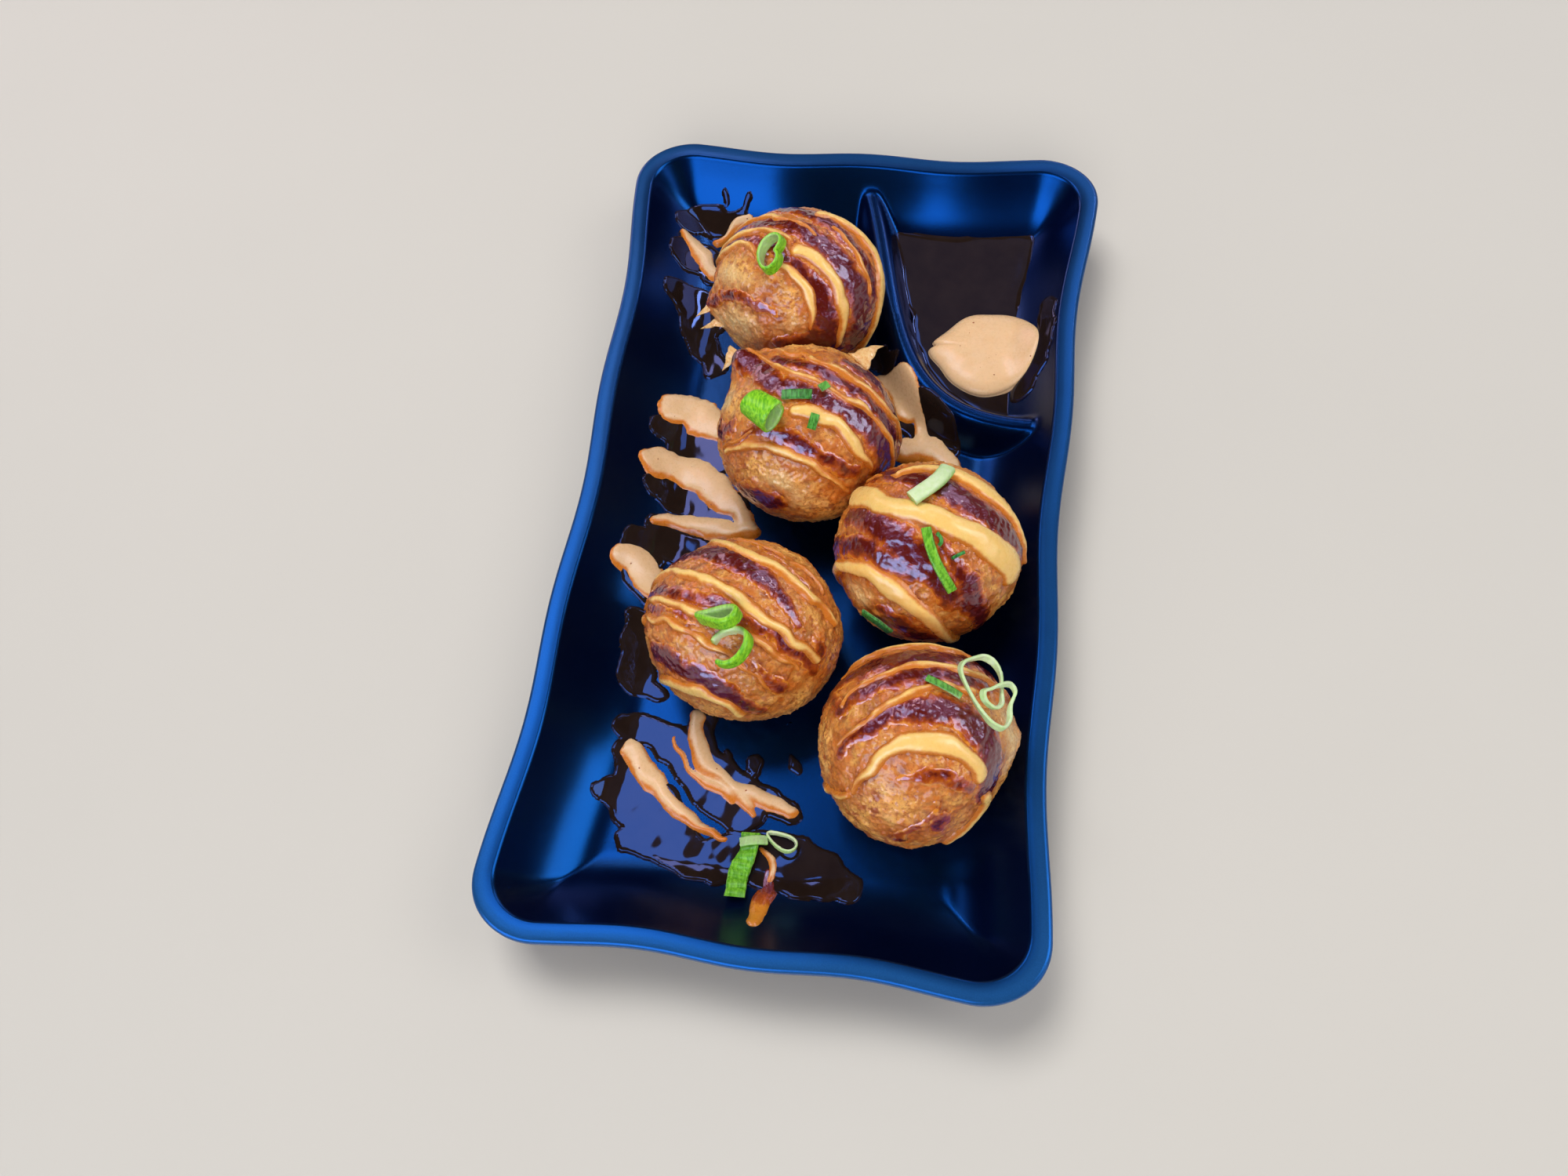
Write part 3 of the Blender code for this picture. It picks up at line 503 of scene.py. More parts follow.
def ripple(points, size, seed, waves=24):
    """Smooth random waves of about one size, near -1 to 1, at each of the points."""
    rng = np.random.RandomState(seed)
    axes = rng.normal(size=(waves, points.shape[1]))
    axes *= (rng.uniform(0.6, 1.5, waves) * 2.0 * np.pi / size / np.linalg.norm(axes, axis=1))[:, None]
    phases = rng.uniform(0.0, 2.0 * np.pi, waves)
    return np.mean(np.sin(points @ axes.T + phases), axis=1) * math.sqrt(waves) * 0.7


# ---- mesh helpers -------------------------------------------------------------------
def add_object(name, data):
    """An object that shows some data, linked into the scene."""
    thing = bpy.data.objects.new(name, data)
    bpy.context.scene.collection.objects.link(thing)
    return thing


def set_values(mesh, values):
    """Keeps named values at a mesh's points."""
    for key, numbers in values.items():
        layer = mesh.attributes.new(key, "FLOAT", "POINT")
        layer.data.foreach_set("value", np.asarray(numbers, dtype=np.float32))


def make_object(name, points, faces, material, values=None):
    """A smooth mesh object from arrays, with named values at its points."""
    mesh = bpy.data.meshes.new(name)
    faces = faces.tolist() if isinstance(faces, np.ndarray) else faces
    mesh.from_pydata(np.asarray(points).tolist(), [], faces)
    mesh.update()
    mesh.shade_smooth()
    mesh.materials.append(material)
    set_values(mesh, values or {})
    return add_object(name, mesh)


def ring_faces(count, rings, inward=False):
    """Quads that join rings of count points, each ring to the next."""
    row = np.arange(rings - 1)[:, None] * count
    here = (row + np.arange(count)).ravel()
    ahead = (row + (np.arange(count) + 1) % count).ravel()
    quads = np.column_stack([here, ahead, ahead + count, here + count])
    return quads[:, (0, 3, 2, 1) if inward else (0, 1, 2, 3)].tolist()


def normals_of(points, faces):
    """Unit vertex normals of a triangle mesh."""
    a, b, c = (points[faces[:, k]] for k in range(3))
    flat = np.cross(b - a, c - a)
    total = np.zeros_like(points)
    for k in range(3):
        np.add.at(total, faces[:, k], flat)
    return total / np.maximum(np.linalg.norm(total, axis=1), 1e-12)[:, None]


def skin(name, upper, lower, faces, keep, material, values=None):
    """A closed skin between two copies of a surface, over the faces whose points are all kept."""
    faces = faces[keep[faces].all(axis=1)]
    used = np.unique(faces)
    number = np.full(len(keep), -1)
    number[used] = np.arange(len(used))
    faces = number[faces]
    count = len(used)
    edges = np.concatenate([faces[:, [0, 1]], faces[:, [1, 2]], faces[:, [2, 0]]])
    forward = edges[:, 0].astype(np.int64) * count + edges[:, 1]
    backward = edges[:, 1].astype(np.int64) * count + edges[:, 0]
    rim = edges[~np.isin(forward, backward)]
    walls = np.concatenate([np.column_stack([rim[:, 1], rim[:, 0], rim[:, 0] + count]),
                            np.column_stack([rim[:, 1], rim[:, 0] + count, rim[:, 1] + count])])
    everything = np.concatenate([faces, faces[:, ::-1] + count, walls])
    points = np.concatenate([upper[used], lower[used]])
    doubled = {key: np.concatenate([numbers[used], numbers[used]])
               for key, numbers in (values or {}).items()}
    return make_object(name, points, everything, material, doubled)


def finish_piece(piece, slot, *nodes):
    """Hand a piece to the frame: it rides on the root, and stands for any nodes named."""
    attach(piece, ROOT)
    if nodes:
        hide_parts(*nodes)
    return piece


def strayed(points, seed, close):
    """Points moved a little at random, so that ribbons laid by them wander."""
    wide = [ripple(points, 8.0 * MM, seed + k) for k in range(points.shape[1])]
    tight = [ripple(points, 2.6 * MM, seed + 5 + k) for k in range(points.shape[1])]
    return points + np.column_stack(wide) * 0.6 * MM + np.column_stack(tight) * close * MM


def ribbon_field(points, trails, place, unit, wobble):
    """Ribbons near each point: rounded rise, flat-topped rise, and metres past their edges, minus inside."""
    rounded = np.zeros(len(points))
    level = np.zeros(len(points))
    nearness = np.zeros(len(points))
    shares = np.linspace(0.0, 1.0, TRAIL_STEPS)
    for *bend, halves in trails:
        line = place(bezier(bend, TRAIL_STEPS))
        widths = np.interp(shares, (0.0, 0.5, 1.0), halves) * unit
        reach, beyond = line_reach(points, line, widths)
        reach = reach * wobble
        inside = np.maximum(1.0 - reach ** 2, 0.0)
        bulk = min(1.0, 0.45 + 0.16 * max(widths) / MM)
        rounded += (bulk * inside ** 0.6) ** 4
        level = np.maximum(level, np.sqrt(np.maximum(1.0 - reach ** 4, 0.0)))
        signed = np.where(reach < 1.0, np.minimum(beyond, -1e-6), np.maximum(beyond, 1e-6))
        nearness += np.exp(-np.maximum(signed, -8.0 * MM) / RIBBON_BLEND)
    past = -RIBBON_BLEND * np.log(np.maximum(nearness, 1e-30))
    return rounded ** 0.25, level, past


# ---- node helpers ---------------------------------------------------------------
def feed(tree, socket, value):
    """Ties a link to a socket, or sets the socket to a plain value."""
    if isinstance(value, bpy.types.NodeSocket):
        tree.links.new(value, socket)
    else:
        socket.default_value = value


def add_node(tree, kind, inputs=None, **settings):
    """A node with its properties set, then its inputs, by index or name, from links or plain values."""
    node = tree.nodes.new(kind)
    for key, value in settings.items():
        setattr(node, key, value)
    for key, value in (inputs or {}).items():
        feed(tree, node.inputs[key], value)
    return node


def math_node(tree, operation, *values):
    """A math node's output, from links or numbers."""
    return add_node(tree, "ShaderNodeMath", dict(enumerate(values)), operation=operation).outputs[0]


def scaled(tree, value, factor, start):
    """A value times a factor, plus a start."""
    return math_node(tree, "MULTIPLY_ADD", value, factor, start)


def mix_colour(tree, share, first, second):
    """A mix of two colours, each a link or a tuple."""
    ends = [(*colour, 1.0) if isinstance(colour, tuple) else colour for colour in (first, second)]
    return add_node(tree, "ShaderNodeMix", {0: share, 6: ends[0], 7: ends[1]}, data_type="RGBA").outputs[2]


def ramp(tree, value, low, high):
    """0 to 1, eased at both ends, as a value goes from low to high."""
    inputs = {0: value, 1: low, 2: high}
    return add_node(tree, "ShaderNodeMapRange", inputs, interpolation_type="SMOOTHSTEP").outputs[0]


def grain_group():
    """Shader group: noise of a size in millimetres, from object coordinates, as a value round 0.5."""
    if "Fine Grain" in bpy.data.node_groups:
        return bpy.data.node_groups["Fine Grain"]
    group = bpy.data.node_groups.new("Fine Grain", "ShaderNodeTree")
    for name, value in (("Size", 1.0), ("Stretch", 1.0), ("Shift", 0.0)):
        socket = group.interface.new_socket(name, in_out="INPUT", socket_type="NodeSocketFloat")
        socket.default_value = value
    group.interface.new_socket("Value", in_out="OUTPUT", socket_type="NodeSocketFloat")
    enter = group.nodes.new("NodeGroupInput").outputs
    place = group.nodes.new("ShaderNodeTexCoord").outputs["Object"]
    stretch = add_node(group, "ShaderNodeCombineXYZ", {0: 1.0, 1: enter["Stretch"], 2: 1.0}).outputs[0]
    longer = add_node(group, "ShaderNodeVectorMath", {0: place, 1: stretch}, operation="MULTIPLY").outputs[0]
    inputs = {0: longer, 1: enter["Shift"]}
    moved = add_node(group, "ShaderNodeVectorMath", inputs, operation="ADD").outputs[0]
    scale = math_node(group, "DIVIDE", 1000.0, enter["Size"])
    inputs = {"Vector": moved, "Scale": scale, "Detail": 4.0, "Roughness": 0.6}
    add_node(group, "NodeGroupOutput", {0: add_node(group, "ShaderNodeTexNoise", inputs).outputs[0]})
    return group


def grain(tree, size, shift=0.0, stretch=1.0):
    """The Fine Grain group's value in a material, at a size in millimetres."""
    inputs = {"Size": size, "Shift": shift, "Stretch": stretch}
    return add_node(tree, "ShaderNodeGroup", inputs, node_tree=grain_group()).outputs[0]


def attribute(tree, name):
    """A named value stored at the points."""
    return add_node(tree, "ShaderNodeAttribute", attribute_name=name).outputs["Fac"]


# ---- materials ---------------------------------------------------------------------
def new_material(name, **inputs):
    """A material and its tree, with some inputs of its Principled shader set."""
    material = bpy.data.materials.new(name)
    material.use_nodes = True
    shader = material.node_tree.nodes["Principled BSDF"]
    for key, value in inputs.items():
        shader.inputs[key.replace("_", " ")].default_value = value
    return material, material.node_tree


def end_material(material, colour, rough=None, height=None, distance=0.0, strength=0.0):
    """Ties a colour, and any roughness and bump, to a material's shader."""
    tree = material.node_tree
    sockets = tree.nodes["Principled BSDF"].inputs
    feed(tree, sockets["Base Color"], colour)
    if rough is not None:
        feed(tree, sockets["Roughness"], rough)
    if height is not None:
        inputs = {"Strength": strength, "Distance": distance, "Height": height}
        feed(tree, sockets["Normal"], add_node(tree, "ShaderNodeBump", inputs).outputs[0])
    return material


def plate_material():
    """Dark navy lacquered plastic with a fine satin grain, its rim band painted a lighter blue as painted
    sheen for sky light reflected off the flat rim.
    """
    material, tree = new_material("navy plate", IOR=1.9, Specular_Tint=(0.02, 0.28, 1.0, 1.0))
    cloud = grain(tree, 22.0)
    fine = grain(tree, 0.35, 3.0)
    # rim: painted sheen, the rim band's lighter blue standing in for sky light reflected off the flat rim,
    # broken into patches.
    rim = math_node(tree, "MULTIPLY", attribute(tree, "rim"), scaled(tree, cloud, 0.5, 0.75))
    dark = mix_colour(tree, cloud, (0.0004, 0.0010, 0.010), (0.0006, 0.0030, 0.022))
    light = mix_colour(tree, fine, (0.008, 0.056, 0.195), (0.015, 0.094, 0.305))
    rough = scaled(tree, fine, 0.06, scaled(tree, cloud, 0.08, 0.17))
    return end_material(material, mix_colour(tree, rim, dark, light), rough, fine, 0.00003, 0.5)


def crust_material():
    """Pan-browned batter: golden, mottled brown on its bumps, oily, amber where glaze has run."""
    material, tree = new_material("browned batter", Subsurface_Weight=0.10, Subsurface_Scale=0.0012,
                                  Subsurface_Radius=(1.0, 0.5, 0.2), IOR=1.42, Coat_Weight=0.5,
                                  Coat_Roughness=0.10, Specular_Tint=(1.0, 0.80, 0.62, 1.0))
    broad = grain(tree, 9.0)
    patch = grain(tree, 2.4, 5.0)
    fine = grain(tree, 0.65, 9.0)
    gold = mix_colour(tree, ramp(tree, broad, 0.36, 0.62), (0.74, 0.235, 0.028), (1.0, 0.53, 0.125))
    gold = mix_colour(tree, ramp(tree, patch, 0.48, 0.66), gold, (0.40, 0.090, 0.011))
    gold = mix_colour(tree, ramp(tree, fine, 0.46, 0.74), gold, (0.44, 0.095, 0.012))
    pale = mix_colour(tree, ramp(tree, fine, 0.40, 0.66), (0.92, 0.66, 0.32), (0.80, 0.44, 0.15))
    colour = mix_colour(tree, attribute(tree, "pale"), gold, pale)
    stained = mix_colour(tree, ramp(tree, patch, 0.35, 0.65), (0.27, 0.040, 0.006), (0.74, 0.21, 0.020))
    colour = mix_colour(tree, attribute(tree, "stain"), colour, stained)
    rough = scaled(tree, fine, 0.12, scaled(tree, attribute(tree, "stain"), -0.22, 0.42))
    return end_material(material, colour, rough, fine, 0.0004, 0.7)


def glaze_material():
    """Sweet brown sauce in a film: amber where thin, red-brown, then maroon where thick."""
    material, tree = new_material("sauce glaze", IOR=1.62, Specular_Tint=(0.88, 0.64, 1.0, 1.0),
                                  Subsurface_Weight=0.1, Subsurface_Scale=0.0008,
                                  Coat_Weight=0.8, Coat_Roughness=0.05)
    depth = scaled(tree, grain(tree, 2.4), 0.8, attribute(tree, "depth"))
    depth = scaled(tree, grain(tree, 0.7, 3.0), 0.5, depth)
    thin = mix_colour(tree, ramp(tree, depth, 0.62, 0.98), (0.78, 0.29, 0.030), (0.42, 0.075, 0.007))
    colour = mix_colour(tree, ramp(tree, depth, 0.92, 1.38), thin, (0.12, 0.010, 0.005))
    fine = grain(tree, 0.8, 7.0)
    return end_material(material, colour, scaled(tree, fine, 0.12, 0.03), fine, 0.0002, 0.7)


def puddle_material():
    """The same sauce pooled deep: nearly black brown, lifted a little towards taupe as painted reflection,
    mirror smooth.
    """
    material, tree = new_material("pooled sauce", IOR=1.55, Specular_Tint=(0.16, 0.36, 1.0, 1.0))
    # Base colour: the sauce's own near-black brown, lifted a little browner as painted reflection of dim
    # taupe surroundings.
    colour = mix_colour(tree, grain(tree, 6.0), (0.010, 0.005, 0.004), (0.026, 0.016, 0.013))
    return end_material(material, colour, scaled(tree, grain(tree, 1.6, 4.0), 0.06, 0.02))


def mayo_material():
    """Creamy mayonnaise, browner towards thin edges where sauce shows through; on the plate that brown fringe
    lies wider on the near side, as painted shade.
    """
    material, tree = new_material("mayonnaise", Subsurface_Weight=0.22, Subsurface_Scale=0.0016,
                                  Subsurface_Radius=(1.0, 0.62, 0.35), IOR=1.47)
    cream = mix_colour(tree, grain(tree, 5.0), (0.80, 0.52, 0.29), (0.84, 0.58, 0.35))
    orange = mix_colour(tree, grain(tree, 4.0, 7.0), (0.96, 0.56, 0.14), (1.0, 0.72, 0.28))
    cream = mix_colour(tree, attribute(tree, "warm"), cream, orange)
    edge = ramp(tree, scaled(tree, grain(tree, 1.8, 2.0), 0.6, attribute(tree, "thin")), 0.55, 1.10)
    colour = mix_colour(tree, edge, cream, (0.66, 0.21, 0.022))
    fine = grain(tree, 0.9, 6.0)
    return end_material(material, colour, scaled(tree, fine, 0.16, 0.20), fine, 0.00010, 0.4)


def onion_material():
    """Spring onion: bright green with fine ribs, pale towards the inner edge."""
    material, tree = new_material("spring onion", Subsurface_Weight=0.25, Subsurface_Scale=0.0008,
                                  Subsurface_Radius=(0.6, 1.0, 0.25), IOR=1.40,
                                  Specular_Tint=(1.0, 1.0, 0.7, 1.0))
    ribs = grain(tree, 0.5, 1.0, 0.12)
    ribbed = ramp(tree, ribs, 0.35, 0.65)
    bright = mix_colour(tree, ribbed, (0.12, 0.46, 0.012), (0.34, 0.78, 0.03))
    dark = mix_colour(tree, ribbed, (0.01, 0.09, 0.015), (0.05, 0.34, 0.08))
    green = mix_colour(tree, attribute(tree, "dark"), bright, dark)
    pale = mix_colour(tree, grain(tree, 1.2, 8.0), (0.50, 0.76, 0.28), (0.84, 0.94, 0.80))
    colour = mix_colour(tree, attribute(tree, "pale"), green, pale)
    return end_material(material, colour, scaled(tree, ribs, 0.15, 0.22), ribs, 0.00015, 0.6)


def speck_material():
    """Tiny dark red-brown crumbs of seasoning."""
    material, tree = new_material("seasoning specks", Roughness=0.5)
    return end_material(material, mix_colour(tree, grain(tree, 0.5), (0.26, 0.07, 0.02), (0.50, 0.18, 0.06)))


def floor_material():
    """Plain pale studio floor."""
    material, tree = new_material("studio floor", Roughness=0.7)
    colour = mix_colour(tree, grain(tree, 300.0), (0.60, 0.59, 0.57), (0.66, 0.65, 0.63))
    return end_material(material, colour)


# ---- geometry node trees -------------------------------------------------------------
def geometry_tree(name, sizes):
    """An empty geometry tree with named inputs, and the sockets by which they enter."""
    tree = bpy.data.node_groups.new(name, "GeometryNodeTree")
    tree.interface.new_socket("Geometry", in_out="INPUT", socket_type="NodeSocketGeometry")
    tree.interface.new_socket("Geometry", in_out="OUTPUT", socket_type="NodeSocketGeometry")
    for label, value in sizes.items():
        kind = "NodeSocketInt" if isinstance(value, int) else "NodeSocketFloat"
        socket = tree.interface.new_socket(label, in_out="INPUT", socket_type=kind)
        socket.default_value = value
    tree.interface.new_socket("Material", in_out="INPUT", socket_type="NodeSocketMaterial")
    return tree, tree.nodes.new("NodeGroupInput").outputs


def end_tree(tree, enter, geometry):
    """Closes a tree with Realize Instances and Set Material."""
    real = add_node(tree, "GeometryNodeRealizeInstances", {0: geometry}).outputs[0]
    inputs = {"Geometry": real, "Material": enter["Material"]}
    add_node(tree, "NodeGroupOutput", {0: add_node(tree, "GeometryNodeSetMaterial", inputs).outputs[0]})
    return tree


def read_value(tree, name, kind="FLOAT"):
    """A named value kept at the points."""
    return add_node(tree, "GeometryNodeInputNamedAttribute", {0: name}, data_type=kind).outputs[0]


def keep_value(tree, geometry, name, value):
    """The geometry with a value kept at its points."""
    inputs = {"Geometry": geometry, "Name": name, "Value": value}
    return add_node(tree, "GeometryNodeStoreNamedAttribute", inputs, data_type="FLOAT",
                    domain="POINT").outputs[0]


def raise_points(tree, geometry, height):
    """The geometry with its points moved along their normals by a height."""
    normal = tree.nodes.new("GeometryNodeInputNormal").outputs[0]
    inputs = {0: normal, "Scale": height}
    offset = add_node(tree, "ShaderNodeVectorMath", inputs, operation="SCALE").outputs[0]
    return add_node(tree, "GeometryNodeSetPosition", {"Geometry": geometry, "Offset": offset}).outputs[0]


def noise_here(tree, seed, scale, detail, roughness):
    """Noise at each point's place, as a value round 0."""
    place = tree.nodes.new("GeometryNodeInputPosition").outputs[0]
    inputs = {"Vector": place, "W": seed, "Scale": scale, "Detail": detail, "Roughness": roughness}
    noise = add_node(tree, "ShaderNodeTexNoise", inputs, noise_dimensions="4D").outputs[0]
    return math_node(tree, "SUBTRACT", noise, 0.5)


def crust_tree():
    """Raises a surface along its normals in lumps, wrinkles and pores, kept as the value relief."""
    sizes = {"Lump Size": 4.0, "Lump Height": 0.3, "Pore Size": 1.1, "Pore Height": 0.1, "Seed": 0}
    tree, enter = geometry_tree("Crust", sizes)
    heights = []
    for kind, shift, detail in (("Lump", 0.0, 2.0), ("Pore", 40.0, 3.0)):
        seed = math_node(tree, "ADD", enter["Seed"], shift)
        scale = math_node(tree, "DIVIDE", 1000.0, enter[kind + " Size"])
        noise = noise_here(tree, seed, scale, detail, 0.55)
        heights.append(math_node(tree, "MULTIPLY", noise, enter[kind + " Height"]))
    total = scaled(tree, heights[1], read_value(tree, "rough"), heights[0])
    kept = keep_value(tree, enter["Geometry"], "relief", total)
    return end_tree(tree, enter, raise_points(tree, kept, math_node(tree, "MULTIPLY", total, RELIEF_RISE)))


def band_tree():
    """Sweeps a flat rounded profile along a path, its width along the path's own across direction."""
    sizes = {"Width": 3.0 * MM, "Thickness": 0.8 * MM, "Rib Height": 0.2 * MM, "Seed": 0}
    tree, enter = geometry_tree("Onion Band", sizes)
    curve = add_node(tree, "GeometryNodeMeshToCurve", {0: enter["Geometry"]}).outputs[0]
    inputs = {"Curve": curve, "Normal": read_value(tree, "across", "FLOAT_VECTOR")}
    aimed = add_node(tree, "GeometryNodeSetCurveNormal", inputs, mode="FREE").outputs[0]
    inputs = {"Width": enter["Width"], "Height": enter["Thickness"]}
    slab = add_node(tree, "GeometryNodeCurvePrimitiveQuadrilateral", inputs).outputs[0]
    radius = math_node(tree, "MULTIPLY", enter["Thickness"], BAND_ROUNDING)
    inputs = {"Curve": slab, "Radius": radius, "Count": 3}
    rounded = add_node(tree, "GeometryNodeFilletCurve", inputs, mode="POLY").outputs[0]
    even = add_node(tree, "GeometryNodeResampleCurve", {"Curve": rounded, "Count": 30}).outputs[0]
    place = tree.nodes.new("GeometryNodeInputPosition").outputs[0]
    parts = add_node(tree, "ShaderNodeSeparateXYZ", {0: place}).outputs
    side = math_node(tree, "DIVIDE", parts[1], enter["Thickness"])
    inputs = {"Curve": aimed, "Profile Curve": keep_value(tree, even, "face", side), "Fill Caps": True}
    sweep = add_node(tree, "GeometryNodeCurveToMesh", inputs).outputs[0]
    smooth = add_node(tree, "GeometryNodeSetShadeSmooth", {0: sweep}).outputs[0]
    rib = noise_here(tree, enter["Seed"], RIB_SCALE, 2.0, 0.5)
    lift = math_node(tree, "MULTIPLY", rib, enter["Rib Height"])
    return end_tree(tree, enter, raise_points(tree, smooth, lift))


def scatter_tree():
    """Scatters small rounded grains over a surface, where its value scatter allows them."""
    sizes = {"Density": 40000.0, "Grain Size": 0.2 * MM, "Flatness": 0.6, "Seed": 0}
    tree, enter = geometry_tree("Scatter", sizes)
    density = math_node(tree, "MULTIPLY", enter["Density"], read_value(tree, "scatter"))
    inputs = {"Mesh": enter["Geometry"], "Density": density, "Seed": enter["Seed"]}
    points = add_node(tree, "GeometryNodeDistributePointsOnFaces", inputs, distribute_method="RANDOM").outputs
    ball = add_node(tree, "GeometryNodeMeshIcoSphere", {"Radius": 1.0, "Subdivisions": 3}).outputs[0]
    share = add_node(tree, "FunctionNodeRandomValue", {"Seed": enter["Seed"]}, data_type="FLOAT").outputs[1]
    drawn = scaled(tree, math_node(tree, "POWER", share, 2.0), 1.2, 0.5)
    radius = math_node(tree, "MULTIPLY", drawn, enter["Grain Size"])
    narrow = math_node(tree, "MULTIPLY", radius, 0.8)
    low = math_node(tree, "MULTIPLY", radius, enter["Flatness"])
    scale = add_node(tree, "ShaderNodeCombineXYZ", {0: radius, 1: narrow, 2: low}).outputs[0]
    inputs = {"Points": points["Points"], "Instance": ball, "Rotation": points["Rotation"], "Scale": scale}
    copies = add_node(tree, "GeometryNodeInstanceOnPoints", inputs).outputs[0]
    return end_tree(tree, enter, add_node(tree, "GeometryNodeSetShadeSmooth", {0: copies}).outputs[0])


def run_tree(thing, tree, material, **sizes):
    """Puts an object through a tree with some sizes set, and keeps the result as its plain mesh."""
    modifier = thing.modifiers.new(tree.name, "NODES")
    modifier.node_group = tree
    wanted = {name.replace("_", " "): value for name, value in sizes.items()}
    wanted["Material"] = material
    for item in tree.interface.items_tree:
        if item.item_type == "SOCKET" and item.in_out == "INPUT" and item.name in wanted:
            modifier[item.identifier] = wanted[item.name]
    graph = bpy.context.evaluated_depsgraph_get()
    mesh = bpy.data.meshes.new_from_object(thing.evaluated_get(graph), preserve_all_data_layers=True,
                                           depsgraph=graph)
    thing.modifiers.clear()
    before = thing.data
    thing.data = mesh
    bpy.data.meshes.remove(before)


def values_of(thing, name):
    """A named value at each of an object's points."""
    numbers = np.zeros(len(thing.data.vertices), dtype=np.float32)
    thing.data.attributes[name].data.foreach_get("value", numbers)
    return numbers.astype(float)


# ---- plate --------------------------------------------------------------------------
def outline_ring(count):
    """Points round the plate's outline, evenly spaced, and the spine points they face."""
    angle = np.linspace(0.0, 2.0 * np.pi, 4001)
    heading = np.column_stack([np.cos(angle), np.sin(angle)])
    near, far = np.zeros(len(angle)), np.full(len(angle), 0.15)
    for _ in range(44):
        middle = 0.5 * (near + far)
        inside = inset(heading[:, 0] * middle, heading[:, 1] * middle) > 0.0
        near, far = np.where(inside, middle, near), np.where(inside, far, middle)
    ring = heading * near[:, None]
    length = np.concatenate([[0.0], np.cumsum(np.linalg.norm(np.diff(ring, axis=0), axis=1))])
    even = np.linspace(0.0, length[-1], count, endpoint=False)
    ring = np.column_stack([np.interp(even, length, ring[:, k]) for k in range(2)])
    spine = np.column_stack([np.zeros(count), np.clip(ring[:, 1] * SPINE_HALF / HALF_LENGTH,
                                                      -SPINE_HALF, SPINE_HALF)])
    return ring, spine


def ring_inside(ring, spine, depth_in):
    """The outline's points drawn towards the spine until they lie depth_in inside."""
    near, far = np.zeros(len(ring)), np.ones(len(ring))
    for _ in range(40):
        middle = 0.5 * (near + far)
        place = ring + (spine - ring) * middle[:, None]
        shallow = inset(place[:, 0], place[:, 1]) < depth_in
        near, far = np.where(shallow, middle, near), np.where(shallow, far, middle)
    return ring + (spine - ring) * near[:, None]


def plate_rings(count):
    """Rings of plate points, from the underside's middle out round the rim and in to the spine."""
    ring, spine = outline_ring(count)
    foot_in = FOOT_INSET + FOOT_WIDTH
    rings = []

    def add(flat, height):
        rings.append(np.column_stack([flat, np.broadcast_to(height, count)]))

    def inside(depth_in):
        return ring_inside(ring, spine, depth_in)

    for share in np.linspace(0.02, 0.98, 10):
        add(spine + (inside(foot_in) - spine) * share, UNDERSIDE_HEIGHT)
    for depth_in, height in ((foot_in, UNDERSIDE_HEIGHT), (foot_in - FOOT_EDGE, FOOT_EDGE),
                             (foot_in - FOOT_ROUNDING, 0.0), (FOOT_INSET + FOOT_ROUNDING, 0.0),
                             (FOOT_INSET + FOOT_EDGE, FOOT_EDGE)):
        add(inside(depth_in), height)
    for share in np.linspace(1.0, 0.0, 22):
        depth_in = RIM_BAND + BOWL_RUN * share
        drop = WALL_THICKNESS + (LIP_THICKNESS - WALL_THICKNESS) * (1.0 - share)
        add(inside(depth_in), np.maximum(bowl_height(depth_in) - drop, UNDERSIDE_HEIGHT))
    turns = [(turn, RIM_HEIGHT - LIP_THICKNESS + RIM_EDGE) for turn in np.linspace(-0.5 * np.pi, 0.0, 6)]
    turns += [(turn, RIM_HEIGHT - RIM_EDGE) for turn in np.linspace(0.0, 0.5 * np.pi, 8)[1:]]
    for turn, middle in turns:
        add(inside(RIM_EDGE * (1.0 - math.cos(turn))), middle + RIM_EDGE * math.sin(turn))
    for depth_in in np.concatenate([np.linspace(1.8, 4.2, 5), np.linspace(4.5, 24.5, 42)]) * MM:
        last = inside(depth_in)
        add(last, rim_rounding(last))
    for share in np.linspace(1.0, 0.015, 50)[1:]:
        flat = spine + (last - spine) * share
        add(flat, tray_height(flat[:, 0], flat[:, 1]))
    return rings


def rim_rounding(flat):
    """Upper face height, with the rim's inner edge eased over instead of sharp."""
    depth_in = inset(flat[:, 0], flat[:, 1])
    ease = RIM_EASE_DROP * np.exp(-((depth_in - RIM_BAND) / RIM_EASE_HALF) ** 2)
    return tray_height(flat[:, 0], flat[:, 1]) - ease


def make_plate(materials):
    """The moulded plate with its waved outline, foot and ridge round the sauce well."""
    count = PLATE_COUNT
    rings = plate_rings(count)
    points = np.concatenate(rings)
    faces = ring_faces(count, len(rings))
    for first, upward in ((0, False), ((len(rings) - 1) * count, True)):
        for k in range(-count // 4, count // 4):
            loop = [k % count, (k + 1) % count, (count // 2 - k - 1) % count, (count // 2 - k) % count]
            face = [first + v for v in dict.fromkeys(loop)]
            faces.append(face if upward else face[::-1])
    # band: painted sheen on the rim, a lighter blue for sky light reflected off the flat rim, weaker towards
    # the far end.
    band = np.clip((RIM_BAND + RIM_SHEEN_PAST - inset(points[:, 0], points[:, 1])) / RIM_SHEEN_FADE, 0.0, 1.0)
    near = np.clip((-points[:, 1] - RIM_SHEEN_NEAR_START) / RIM_SHEEN_NEAR_RUN, 0.0, 1.0)
    band = band * (RIM_SHEEN_FAR_SHARE + (1.0 - RIM_SHEEN_FAR_SHARE) * near)
    plate = make_object("plate_body", points, faces, materials["plate"], {"rim": band})
    finish_piece(plate, "plate", "plate")


